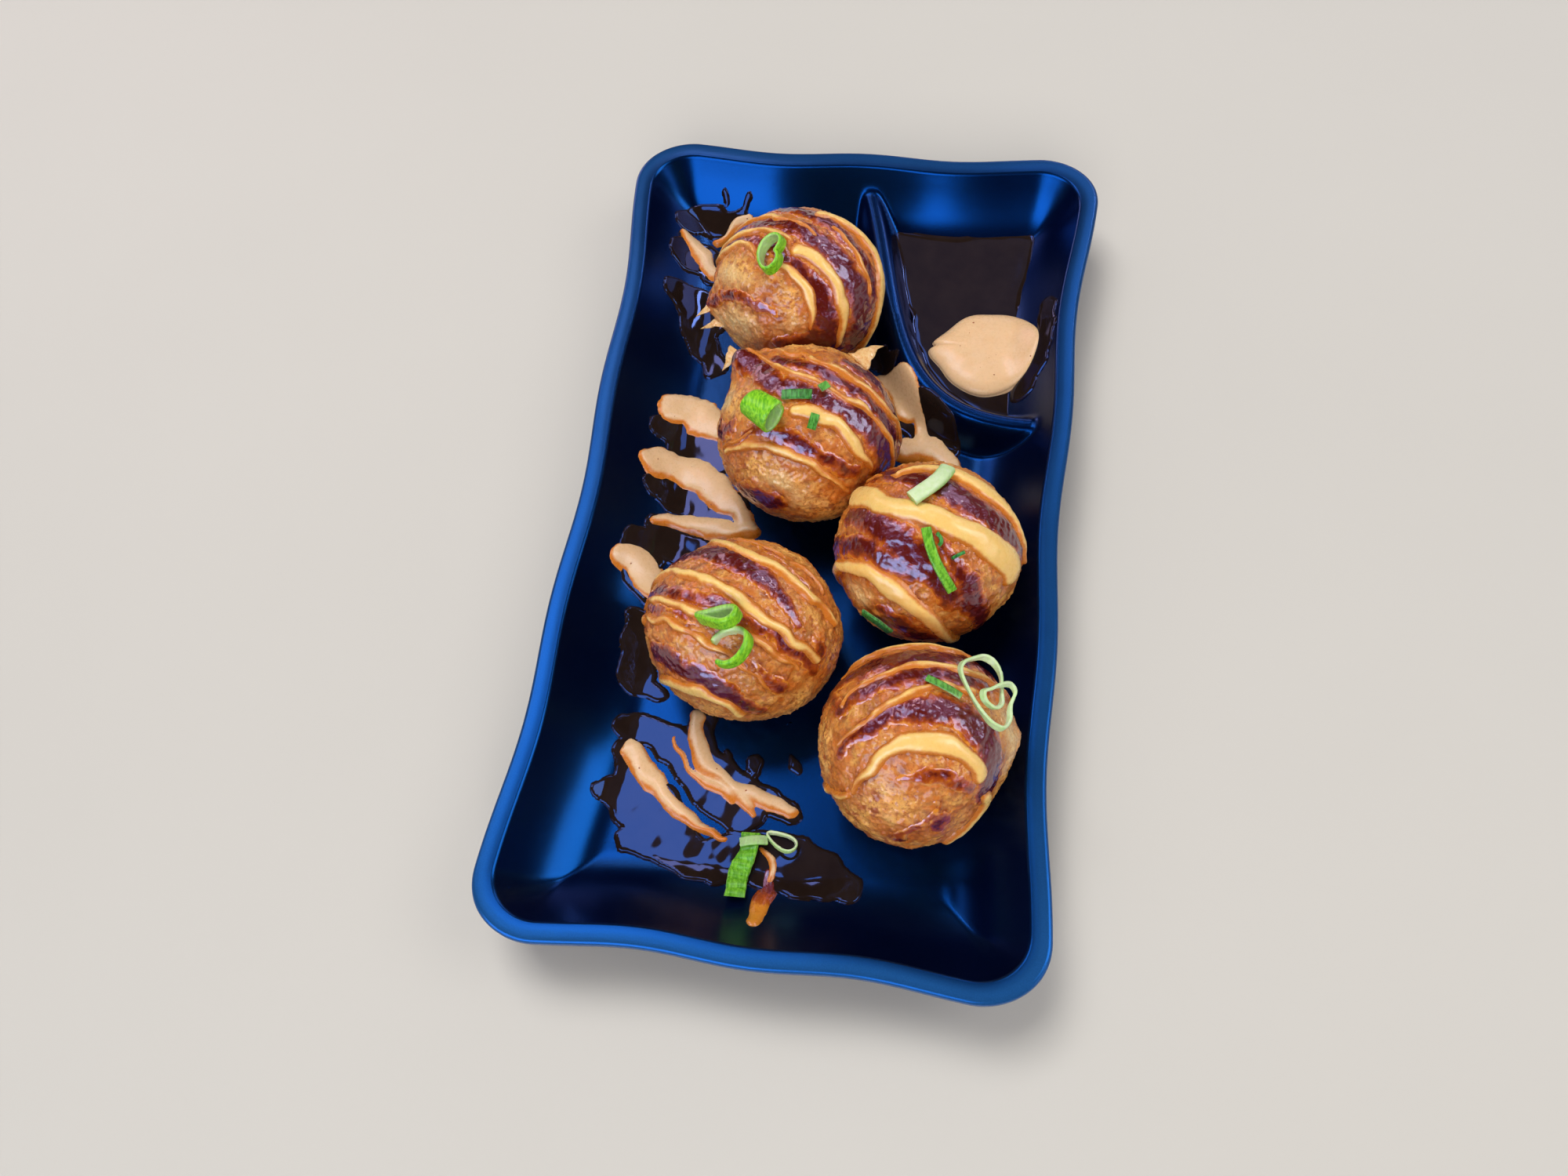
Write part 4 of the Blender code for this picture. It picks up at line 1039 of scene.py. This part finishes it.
# ---- balls, ribbons and glaze ----------------------------------------------------------
def sphere_grid():
    """Unit directions and triangles of a finely divided sphere."""
    grid = bmesh.new()
    bmesh.ops.create_icosphere(grid, subdivisions=BALL_SPLITS, radius=1.0)
    directions = np.array([v.co[:] for v in grid.verts])
    faces = np.array([[v.index for v in f.verts] for f in grid.faces])
    grid.free()
    return directions / np.linalg.norm(directions, axis=1)[:, None], faces


def ball_patches(name, points):
    """How pale, 0 to 1, the bare batter is: undersides and a few named patches."""
    low = np.clip((ball_centre(name)[2] - PALE_START - points[:, 2]) / PALE_RUN, 0.0, 1.0)
    pale = PALE_UNDERSIDE * low
    for east, north, spread in PALE_PATCHES.get(name, []):
        spot = ball_surface(name, top_direction(east, north)[None])[0]
        away = np.linalg.norm(points - spot, axis=1)
        pale = np.maximum(pale, np.exp(-(away / (spread * MM)) ** 4))
    return np.clip(pale + 0.25 * ripple(points, 5.0 * MM, 90), 0.0, 1.0)


def on_ball(name):
    """Turns plan degrees into points on one ball's surface."""
    return lambda flat: ball_surface(name, top_direction(flat[:, 0], flat[:, 1]))


def make_ball(name, grid, trees, materials):
    """One ball with its glaze and its mayonnaise ribbons, each a closed skin."""
    directions, faces = grid
    outside = ball_surface(name, directions)
    normals = normals_of(outside, faces)
    points = outside - normals * CRUST_INSET
    unit = math.radians(1.0) * float(np.mean(BALLS[name]["half"])) * MM
    seed = BALLS[name]["seed"]
    ragged = 1.0 + 0.10 * ripple(points, 4.5 * MM, seed) + 0.09 * ripple(points, 1.8 * MM, seed + 1)
    soft = 1.0 + 0.05 * ripple(points, 5.0 * MM, seed + 2) + 0.03 * ripple(points, 2.0 * MM, seed + 3)
    sauce_rise, sauce_level, sauce_past = ribbon_field(strayed(outside, seed + 10, 0.25), BALL_GLAZE[name],
                                                       on_ball(name), unit * GLAZE_SPREAD, ragged)
    mayo_rise, mayo_level, mayo_past = ribbon_field(strayed(outside, seed + 10, 0.05), BALL_MAYO[name],
                                                    on_ball(name), unit, soft)
    near_sauce = np.clip(1.0 - np.minimum(sauce_past, mayo_past) / STAIN_RUN, 0.0, 1.0)
    values = {
        "pale": ball_patches(name, points) * (1.0 - 0.8 * near_sauce),
        "stain": near_sauce * np.clip(0.75 + 0.5 * ripple(points, 3.0 * MM, seed + 4), 0.0, 1.0),
        "rough": 1.0 - 0.5 * sauce_level,
    }
    ball = make_object("takoyaki_" + name, points, faces, materials["crust"], values)
    run_tree(ball, trees["crust"], materials["crust"], **CRUST_RELIEF, Seed=seed)
    relief = values_of(ball, "relief")
    finish_piece(ball, "batter", name)

    lower = points - normals * SKIN_SINK
    lift = (0.35 * sauce_level + 0.65 * sauce_rise) * GLAZE_RISE - np.maximum(sauce_past, 0.0) * 0.5
    lift = lift + 1.3 * relief * MM * np.clip(sauce_level, 0.0, 1.0)
    upper = points + normals * (lift + GLAZE_LIFT)[:, None]
    depth = 0.85 * np.clip(-sauce_past / GLAZE_RUN, 0.0, 1.0) ** 0.8 - 1.2 * relief
    glaze = skin("glaze_" + name, upper, lower, faces, sauce_past < SKIN_SKIRT, materials["glaze"],
                 {"depth": depth})
    finish_piece(glaze, "sauce")

    lift = mayo_rise * MAYO_RISE - np.maximum(mayo_past, 0.0)
    lift = lift + 0.05 * MM * ripple(points, 2.4 * MM, seed + 5) * mayo_level
    upper = points + normals * (lift + MAYO_LIFT)[:, None]
    mayo = skin("mayo_" + name, upper, lower, faces, mayo_past < SKIN_SKIRT, materials["mayo"],
                {"thin": 1.0 - np.clip(-mayo_past / MAYO_RUN, 0.0, 1.0), "warm": np.ones(len(points))})
    finish_piece(mayo, "mayo")


# ---- sauces on the plate ------------------------------------------------------------------
def plan_grid(step):
    """A regular grid of points over the plate in plan, and its triangles."""
    xs = np.arange(-HALF_WIDTH, HALF_WIDTH, step)
    ys = np.arange(-HALF_LENGTH, HALF_LENGTH, step)
    gx, gy = np.meshgrid(xs, ys)
    across = len(xs)
    corner = (np.arange(len(ys) - 1)[:, None] * across + np.arange(across - 1)[None]).ravel()
    faces = np.concatenate([np.column_stack([corner, corner + 1, corner + across + 1]),
                            np.column_stack([corner, corner + across + 1, corner + across])])
    return np.column_stack([gx.ravel(), gy.ravel()]), faces


def trail_skin(name, trails, rise, flat_top, material, slot, grid, seed):
    """A closed skin of sauce lying on the plate along plan ribbons, domed or flat-topped."""
    flat, faces = grid
    wobble = 1.0 + 0.07 * ripple(flat, 7.0 * MM, seed) + 0.04 * ripple(flat, 2.6 * MM, seed + 1)
    wander = strayed(flat, seed + 20, 0.06)

    def field(places):
        return ribbon_field(places, trails, lambda plan: plan * MM, MM, wobble)

    rounded, _, past = field(wander)
    # The thin field is read from points moved towards the near side: real sauce showing through at thin
    # edges, plus painted shade that widens the brown fringe on that side.
    thin_and_shade_past = field(wander - (0.0, NEAR_SIDE_SHADE_SHIFT))[2]
    ground = tray_height(flat[:, 0], flat[:, 1])
    shoulder = np.clip(-past / FLAT_SHOULDER, 0.0, 1.0)
    dome = np.sqrt(1.0 - (1.0 - shoulder) ** 2) if flat_top else rounded
    dome = dome * (1.0 + 0.10 * ripple(flat, 10.0 * MM, seed + 2) + 0.012 * ripple(flat, 3.5 * MM, seed + 3))
    upper = np.column_stack([flat, ground + dome * rise - np.maximum(past, 0.0) * 0.9 + TRAIL_LIFT])
    lower = np.column_stack([flat, ground - SKIN_SINK])
    values = {"thin": 1.0 - np.clip(-thin_and_shade_past / THIN_RUN, 0.0, 1.0),
              "depth": np.clip((flat[:, 1] - AMBER_END) / AMBER_RUN, 0.0, 1.2)}
    piece = skin(name, upper, lower, faces, past < TRAIL_SKIRT, material, values)
    return finish_piece(piece, slot)


def polar_piece(name, centre, edge_at, shares, heights, low, material):
    """A closed solid from rings round a centre: reach and height both depend on angle and share."""
    count = POLAR_COUNT
    angles = np.linspace(0.0, 2.0 * np.pi, count, endpoint=False)
    reach = edge_at(angles)
    rings = []
    for share in shares:
        flat = np.column_stack([centre[0] + reach * share * np.cos(angles),
                                centre[1] + reach * share * np.sin(angles)])
        rings.append(np.column_stack([flat, heights(flat, share)]))
    flat = rings[-1][:, :2]
    rings.append(np.column_stack([flat, low(flat)]))
    faces = ring_faces(count, len(rings), inward=True)
    points = np.concatenate(rings + [[rings[0].mean(axis=0), rings[-1].mean(axis=0)]])
    last = (len(rings) - 1) * count
    for k in range(count):
        ahead = (k + 1) % count
        faces.append((k, ahead, len(points) - 2))
        faces.append((last + ahead, last + k, len(points) - 1))
    return make_object(name, points, faces, material)


def well_reach(level):
    """For angles round the well's middle: how far out the plate's face reaches a level."""
    def reach(angles):
        away = np.linspace(*WELL_SEARCH)
        edge = []
        for angle in angles:
            height = tray_height(WELL_CENTRE[0] + away * math.cos(angle),
                                 WELL_CENTRE[1] + away * math.sin(angle))
            over = int(np.argmax(height > level))
            share = (level - height[over - 1]) / (height[over] - height[over - 1])
            edge.append(away[over - 1] + (away[over] - away[over - 1]) * share)
        return np.array(edge)
    return reach


def make_pool(materials):
    """The well's sauce, its edge drawn a little up the walls and just into them."""
    even = well_reach(POOL_LEVEL + POOL_CREEP)

    def reach(angles):
        wander = np.sin(5.0 * angles + 1.0) + 0.7 * np.sin(9.0 * angles + 0.4) + 0.4 * np.sin(17.0 * angles)
        return even(angles) + POOL_WANDER * wander

    def height(flat, share):
        edge = np.hypot(flat[:, 0] - WELL_CENTRE[0], flat[:, 1] - WELL_CENTRE[1])
        full = edge / max(share, 1e-6)
        climb = POOL_CREEP * np.exp(-(full - edge) / POOL_CREEP_RUN)
        return POOL_LEVEL + climb + 0.03 * MM * ripple(flat, 16.0 * MM, 70)

    shares = np.concatenate([np.linspace(0.03, 0.9, 40), np.linspace(0.91, 1.012, 14)])
    pool = polar_piece("well_sauce", WELL_CENTRE, reach, shares, height,
                       lambda flat: np.full(len(flat), POOL_LEVEL - POOL_DEPTH), materials["puddle"])
    finish_piece(pool, "sauce", "sauce_pool")


def mayo_edge(angles):
    """Radius of the blob's outline, drawn out to a tip with a nick on one side."""
    away = angle_from(angles, MAYO_TIP_ANGLE)
    tip = MAYO_TIP * np.exp(-(away / MAYO_TIP_SPREAD) ** 2)
    nick = MAYO_NICK * np.exp(-((away + MAYO_NICK_TURN) / MAYO_NICK_SPREAD) ** 2)
    wave = 0.25 * MM * np.sin(3.0 * angles + 0.8) + 0.15 * MM * np.sin(7.0 * angles)
    lean = MAYO_LEAN * np.cos(angles - MAYO_LEAN_ANGLE)
    swell = MAYO_SWELL * np.exp(-(angle_from(angles, MAYO_SWELL_ANGLE) / MAYO_SWELL_SPREAD) ** 2)
    return MAYO_RADIUS + tip - nick + wave + lean + swell


def make_blob(materials):
    """The blob of mayonnaise lying in the well."""
    def bed(flat):
        wall = tray_height(flat[:, 0], flat[:, 1])
        return 0.5 * (POOL_LEVEL + wall + np.hypot(POOL_LEVEL - wall, BED_EASE))

    def height(flat, share):
        ground = bed(flat)
        dome = BLOB_RISE * np.sqrt(max(0.0, 1.0 - min(share, 1.0) ** 4))
        dip = max(0.0, share - 1.0) * 18.0 * MM
        return ground + dome - dip + 0.10 * MM * ripple(flat, 7.0 * MM, 71) * (1.0 - share ** 4)

    turn = np.linspace(0.02, 0.5 * np.pi, 40)
    shares = np.concatenate([np.sin(turn), [1.01, 1.03]])
    blob = polar_piece("mayo_dollop", MAYO_CENTRE, mayo_edge, shares, height,
                       lambda flat: bed(flat) - BLOB_DEPTH, materials["mayo"])
    return finish_piece(blob, "mayo", "mayo_blob")


# ---- spring onion ----------------------------------------------------------------------------
def frame_on(axis, first):
    """Two unit directions square to an axis, the first near a given one."""
    axis = axis / np.linalg.norm(axis)
    u = first - axis * float(first @ axis)
    u = u / np.linalg.norm(u)
    return axis, u, np.cross(axis, u)


def make_band(name, path, across, closed, materials, width, thickness, pale, seed, *nodes, dark=0.0,
              inner=-0.9, swell=None):
    """One onion slice: a band swept along a path, its paleness one number or one for each end."""
    count = len(path)
    edges = [(k, (k + 1) % count) for k in range(count if closed else count - 1)]
    mesh = bpy.data.meshes.new(name)
    mesh.from_pydata(np.asarray(path).tolist(), edges, [])
    layer = mesh.attributes.new("across", "FLOAT_VECTOR", "POINT")
    layer.data.foreach_set("vector", np.asarray(across, dtype=np.float32).ravel())
    if swell is not None:
        set_values(mesh, {"radius": swell})
    band = add_object(name, mesh)
    run_tree(band, materials["band tree"], materials["onion"], Width=width * MM, Thickness=thickness * MM,
             Rib_Height=RIB_HEIGHT, Seed=seed)
    face = values_of(band, "face")
    points = np.empty(3 * len(band.data.vertices))
    band.data.vertices.foreach_get("co", points)
    run = path[-1] - path[0]
    share = np.clip((points.reshape(-1, 3) - path[0]) @ run / (run @ run), 0.0, 1.0)
    pale = np.interp(share, (0.0, 1.0), np.broadcast_to(pale, 2)) + inner * face
    set_values(band.data, {"pale": np.clip(pale, 0.0, 1.0), "dark": np.full(len(face), dark)})
    finish_piece(band, "onion", *nodes)


def ring_path(centre, axis, first, radii, seed, pinch=0.0, squash=0.0, turns=(0.0, 360.0)):
    """An uneven oval path square to an axis, pinched on one side or pressed flat towards one end."""
    axis, u, v = frame_on(axis, first)
    turn = np.radians(np.linspace(turns[0], turns[1], 65)[:-1])
    rng = np.random.RandomState(seed)
    uneven = 1.0 + 0.05 * np.sin(2.0 * turn + rng.uniform(0, 6))
    uneven = uneven + 0.04 * np.sin(3.0 * turn + rng.uniform(0, 6))
    uneven = uneven - pinch * np.exp(-(angle_from(turn, -1.5) / 0.45) ** 2)
    flat = 1.0 - squash * (0.5 - 0.5 * np.cos(turn)) ** 0.8
    path = centre + (u * np.cos(turn)[:, None] * radii[0]
                     + v * (np.sin(turn) * flat)[:, None] * radii[1]) * uneven[:, None]
    lean = axis + 0.25 * np.sin(turn + rng.uniform(0, 6))[:, None] * u
    return path, lean


def smooth_loop(corners, count):
    """A smooth closed run of points through corners."""
    corners = np.asarray(corners, dtype=float)
    size = len(corners)
    places = np.arange(count) * size / count
    here = places.astype(int)
    t = (places - here)[:, None]
    p0, p1, p2, p3 = (corners[(here + k) % size] for k in (-1, 0, 1, 2))
    return 0.5 * (2.0 * p1 + (p2 - p0) * t + (2.0 * p0 - 5.0 * p1 + 4.0 * p2 - p3) * t ** 2
                  + (3.0 * p1 - p0 - 3.0 * p2 + p3) * t ** 3)


def knot_path(centre, axis, first):
    """The path of a slice that has twisted over itself: one wide loop and a small one inside it."""
    axis, u, v = frame_on(axis, first)
    loop = smooth_loop(KNOT, 110) * MM
    path = centre - v * loop[:, :1] + u * loop[:, 1:2] + axis * loop[:, 2:]
    turn = np.linspace(0.0, 4.0 * np.pi, len(path), endpoint=False)
    lean = axis + 0.5 * np.sin(turn + 0.7)[:, None] * u + 0.4 * np.cos(1.5 * turn)[:, None] * v
    return path, lean


def strip_path(name, start, end, lift, curl=0.0):
    """A path a little above a ball from one place to another, with its across directions."""
    shares = np.linspace(0.0, 1.0, 30)
    east = start[0] + (end[0] - start[0]) * shares + curl * np.sin(np.pi * shares)
    north = start[1] + (end[1] - start[1]) * shares
    ups = top_direction(east, north)
    path = ball_surface(name, ups) + ups * lift
    along = np.gradient(path, axis=0)
    return path, np.cross(ups, along)


def make_onions(materials):
    """Every slice of spring onion, each its own piece."""
    up, east, north = np.array([0.0, 0.0, 1.0]), np.array([1.0, 0.0, 0.0]), np.array([0.0, 1.0, 0.0])

    def on_top(ball, spot, lift):
        place = top_direction(*spot)
        return place, ball_surface(ball, place[None])[0] + place * lift * MM

    def ring(name, centre, axis, first, radii, width, thickness, pale, seed, closed=True, **shape):
        path, lean = ring_path(centre, axis, first, np.array(radii) * MM, seed, **shape)
        make_band(name + "_slice", path, lean, closed, materials, width, thickness, pale, seed, name)

    def strip(name, ball, start, end, lift, width, thickness, pale, seed, curl=0.0, dark=0.0, inner=-0.9):
        path, across = strip_path(ball, start, end, lift * MM, curl)
        nodes = () if "_bit_" in name else (name,)
        make_band(name + "_slice", path, across, False, materials, width, thickness, pale, seed,
                  *nodes, dark=dark, inner=inner)

    place, centre = on_top("ball_1", (-9.0, -15.0), 2.9)
    ring("onion_ring_1", centre, place + 0.35 * up - 0.45 * east + 0.2 * north, north, (4.7, 3.3), 3.2, 0.8,
         0.1, 1, pinch=0.5)
    place, centre = on_top("ball_2", (-17.0, -17.0), 3.8)
    ring("onion_tube_2", centre, 0.8 * east - 0.6 * north + 0.2 * up, up, (2.6, 3.5), 8.0, 1.0, 0.1, 2,
         pinch=0.3)
    strip("onion_strip_2", "ball_2", (-10.0, -6.5), (7.0, -5.0), 0.9, 2.5, 0.8, (0.5, 0.0), 3, 0.0, 0.9)
    strip("onion_bit_2a", "ball_2", (9.0, -26.0), (10.5, -17.0), 1.5, 2.1, 0.5, 0.0, 13, 0.0, 0.8)
    strip("onion_bit_2b", "ball_2", (11.0, -1.0), (15.0, 3.0), 1.3, 2.0, 0.6, 0.4, 17, 0.0, 0.7)
    strip("onion_strip_3a", "ball_3", (8.0, 29.0), (-9.0, 4.0), 2.0, 3.8, 2.0, (0.2, 0.7), 4, 3.0, 0.0, 1.2)
    strip("onion_strip_3b", "ball_3", (0.0, -12.0), (19.0, -45.0), 1.3, 2.3, 0.9, (0.3, 0.0), 5, -3.0, 0.35)
    strip("onion_bit_3a", "ball_3", (6.0, -14.0), (8.0, -21.0), 0.8, 0.9, 0.5, 0.0, 14, 2.0, 0.9)
    strip("onion_bit_3b", "ball_3", (16.0, -27.0), (23.0, -22.0), 0.7, 0.8, 0.5, 0.0, 15, 0.0, 1.0)
    strip("onion_chip_3c", "ball_3", (-46.0, -67.0), (-24.0, -83.0), 1.1, 2.4, 0.8, 0.0, 6, 2.0, 0.9)
    place, centre = on_top("ball_4", (-4.0, -16.0), 2.8)
    ring("onion_ring_4a", centre, place + 0.75 * north - 0.5 * east, east - 0.35 * north, (5.2, 3.2),
         3.2, 1.4, 0.1, 7, squash=0.8)
    place, centre = on_top("ball_4", (3.0, -31.0), 2.2)
    ring("onion_ring_4b", centre, place + 0.6 * north - 0.4 * east, east, (4.6, 3.9), 2.8, 1.2, (0.0, 0.5), 8,
         closed=False, turns=(-115.0, 165.0))
    place, centre = on_top("ball_5", (33.0, 14.0), 3.0)
    path, lean = knot_path(centre, place + 0.2 * up, north - 0.2 * east)
    make_band("onion_ring_5_slice", path, lean, True, materials, 1.8, 0.7, 0.9, 9, "onion_ring_5", inner=-0.3)
    strip("onion_tail_5", "ball_5", (2.0, 20.0), (21.0, 13.0), 1.1, 1.7, 0.8, (0.0, 0.6), 10, 0.0, 0.7)
    make_leaf(materials)
    centre = np.array([2.4, -79.6, 2.8]) * MM + up * FLOOR_HEIGHT
    ring("onion_ring_7", centre, up + 0.5 * north, east - 0.6 * north, (3.6, 2.6), 1.3, 0.6, 1.0, 12,
         squash=0.4)


def make_leaf(materials):
    """The ribbed piece of green leaf that lies on the plate, widest and folded near its far end."""
    spots = np.array([(-5.0, -78.6, 2.1), (-5.4, -83.6, 2.5), (-6.1, -88.6, 2.8), (-6.6, -93.6, 4.6)]) * MM
    share = np.linspace(0.0, 3.0, 60)
    leaf = np.column_stack([np.interp(share, range(4), spots[:, k]) for k in range(3)])
    leaf[:, 2] += FLOOR_HEIGHT + 0.25 * MM * np.sin(share * 14.0)
    leaf[:, 0] += 0.35 * MM * np.sin(share * 2.6)
    twist = np.column_stack([np.cos(0.35 * np.sin(2.0 * share)), 0.2 * np.sin(share * 3.0),
                             0.45 * np.sin(1.7 * share + 0.6)])
    swell = np.interp(share, (0.0, 0.25, 0.9, 1.7, 2.3, 3.0), (0.45, 0.95, 1.25, 0.85, 0.80, 0.90))
    swell = swell + 0.05 * np.sin(share * 23.0)
    make_band("onion_leaf_6_slice", leaf, twist, False, materials, 4.9, 0.9, (0.0, 0.25), 11,
              "onion_leaf_6", dark=0.35, swell=swell)
    across = np.linspace(-1.0, 1.0, 24)[:, None] * np.array([3.0, 0.6, 0.0]) * MM
    across = across + np.array([-4.0, -80.4, 4.0]) * MM + np.array([0.0, 0.0, FLOOR_HEIGHT])
    across[:, 2] -= 1.1 * MM * np.linspace(-1.0, 1.0, 24) ** 2
    lean = np.tile((0.25, -0.9, 0.4), (24, 1))
    swell = np.interp(np.linspace(-1.0, 1.0, 24), (-1.0, -0.3, 0.6, 1.0), (0.4, 1.0, 0.9, 0.3))
    make_band("onion_bit_6_slice", across, lean, False, materials, 2.6, 0.7, 0.1, 16, dark=0.5, swell=swell)


def make_specks(name, source, density, size, seed, materials, trees):
    """Seasoning grains scattered over the upper side of a piece, as one mesh."""
    specks = add_object(name, source.data.copy())
    normals = np.empty(3 * len(specks.data.vertices), dtype=np.float32)
    specks.data.vertex_normals.foreach_get("vector", normals)
    set_values(specks.data, {"scatter": np.clip(4.0 * normals[2::3] - 2.0, 0.0, 1.0)})
    run_tree(specks, trees["scatter"], materials["speck"], Density=density, Grain_Size=size * MM, Seed=seed)
    finish_piece(specks, "mayo")


def make_flap(name, root, tip, half_width, materials):
    """A pointed flap of torn crust, from its root on a ball to a free tip."""
    root, tip = (np.array(end) * MM + (0.0, 0.0, FLOOR_HEIGHT) for end in (root, tip))
    along = tip - root
    side = np.cross(along, (0.0, 0.0, 1.0))
    side = side / np.linalg.norm(side)
    over = np.cross(side, along / np.linalg.norm(along))
    points = []
    steps, around = FLAP_STEPS, FLAP_AROUND
    for share in np.linspace(0.0, 1.0, steps):
        width = half_width * MM * (1.0 - share) ** 1.15 + FLAP_TIP_WIDTH
        thick = FLAP_THICKNESS * (1.0 - 0.8 * share)
        bend = over * FLAP_ARCH * math.sin(math.pi * share)
        bend = bend + side * FLAP_SWAY * math.sin(2.2 * math.pi * share)
        for turn in np.linspace(0.0, 2.0 * math.pi, around, endpoint=False):
            ragged = 1.0 + 0.16 * math.sin(5.0 * share * math.pi + 3.0 * turn)
            points.append(root + along * share + bend + side * width * math.cos(turn) * ragged
                          + over * thick * math.sin(turn))
    faces = ring_faces(around, steps)
    faces.append(tuple(range(around))[::-1])
    faces.append(tuple(range((steps - 1) * around, steps * around)))
    values = {"pale": np.full(len(points), 0.9), "stain": np.full(len(points), 0.12)}
    finish_piece(make_object(name, points, faces, materials["crust"], values), "batter")


# ---- stage, light and camera --------------------------------------------------------------------
def make_floor(materials):
    """A wide pale floor under the plate."""
    corners = [(-FLOOR_HALF, -FLOOR_HALF, 0.0), (FLOOR_HALF, -FLOOR_HALF, 0.0),
               (FLOOR_HALF, FLOOR_HALF, 0.0), (-FLOOR_HALF, FLOOR_HALF, 0.0)]
    make_object("studio_floor", corners, [(0, 1, 2, 3)], materials["floor"])


def area_light(name, azimuth, elevation, size, radiance, colour, diffuse=True, glossy=True):
    """A rectangular light at an azimuth, 0 at +Y and 90 at +X, facing the plate."""
    lamp = bpy.data.lights.new(name, "AREA")
    lamp.shape = "RECTANGLE"
    lamp.size, lamp.size_y = size
    lamp.energy = radiance * math.pi * size[0] * size[1]
    lamp.color = colour
    thing = add_object(name, lamp)
    turn, rise = math.radians(azimuth), math.radians(elevation)
    heading = Vector((math.cos(rise) * math.sin(turn), math.cos(rise) * math.cos(turn), math.sin(rise)))
    thing.location = heading * LIGHT_DISTANCE
    facing = Vector(LIGHT_TARGET) - heading * LIGHT_DISTANCE
    thing.rotation_euler = facing.to_track_quat("-Z", "Y").to_euler()
    thing.visible_diffuse = diffuse
    thing.visible_glossy = glossy
    thing.visible_camera = False


def make_lights():
    """Warm soft key and fill, and cool softboxes seen only in reflections."""
    for light in SOFT_LIGHTS:
        area_light(*light, glossy=False)
    for card in REFLECTED_CARDS:
        area_light(*card, diffuse=False)
    world = bpy.data.worlds.new("studio")
    bpy.context.scene.world = world
    world.use_nodes = True
    sockets = world.node_tree.nodes["Background"].inputs
    sockets["Color"].default_value = WORLD_COLOUR
    sockets["Strength"].default_value = WORLD_STRENGTH
    world.cycles_visibility.glossy = False


def make_camera():
    """The camera, looking down over the plate from its near side."""
    data = bpy.data.cameras.new("camera")
    data.sensor_width = SENSOR_WIDTH
    data.lens = LENS
    data.clip_start = 0.01
    camera = add_object("camera", data)
    rise, turn, roll = (math.radians(angle) for angle in CAMERA_ANGLES)
    back = np.array([math.sin(turn) * math.cos(rise), -math.cos(turn) * math.cos(rise), math.sin(rise)])
    right = np.cross([0.0, 0.0, 1.0], back)
    right = right / np.linalg.norm(right)
    level = np.cross(back, right)
    columns = [right * math.cos(roll) + level * math.sin(roll),
               level * math.cos(roll) - right * math.sin(roll), back]
    matrix = np.eye(4)
    matrix[:3, :3] = np.column_stack(columns)
    matrix[:3, 3] = CAMERA_PLACE
    camera.matrix_world = Matrix(matrix.tolist())
    bpy.context.scene.camera = camera


# ---- the scene --------------------------------------------------------------------------------------
def main():
    """Builds every piece, the stage, the lights and the camera."""
    bpy.context.scene.view_settings.view_transform = "Standard"
    materials = {
        "plate": plate_material(), "crust": crust_material(), "glaze": glaze_material(),
        "puddle": puddle_material(), "mayo": mayo_material(), "onion": onion_material(),
        "speck": speck_material(), "floor": floor_material(), "band tree": band_tree(),
    }
    trees = {"crust": crust_tree(), "scatter": scatter_tree()}
    make_plate(materials)
    grid = sphere_grid()
    for name in BALLS:
        make_ball(name, grid, trees, materials)
    plan = plan_grid(PLAN_STEP)
    trail_skin("plate_sauce", PUDDLES + DROPS, PUDDLE_RISE, True, materials["puddle"], "sauce", plan, 80)
    lobes = trail_skin("plate_mayo", FLOOR_MAYO, LOBE_RISE, False, materials["mayo"], "mayo", plan, 85)
    make_specks("specks_on_plate", lobes, *PLATE_SPECKS, materials, trees)
    trail_skin("amber_tail", AMBER_TAIL, AMBER_RISE, False, materials["glaze"], "sauce", plan, 88)
    make_pool(materials)
    make_specks("specks_in_well", make_blob(materials), *WELL_SPECKS, materials, trees)
    make_onions(materials)
    for index, (root, tip, half_width) in enumerate(TORN_FLAPS):
        make_flap("torn_flap_%d" % (index + 1), root, tip, half_width, materials)
    make_floor(materials)
    make_lights()
    make_camera()


main()
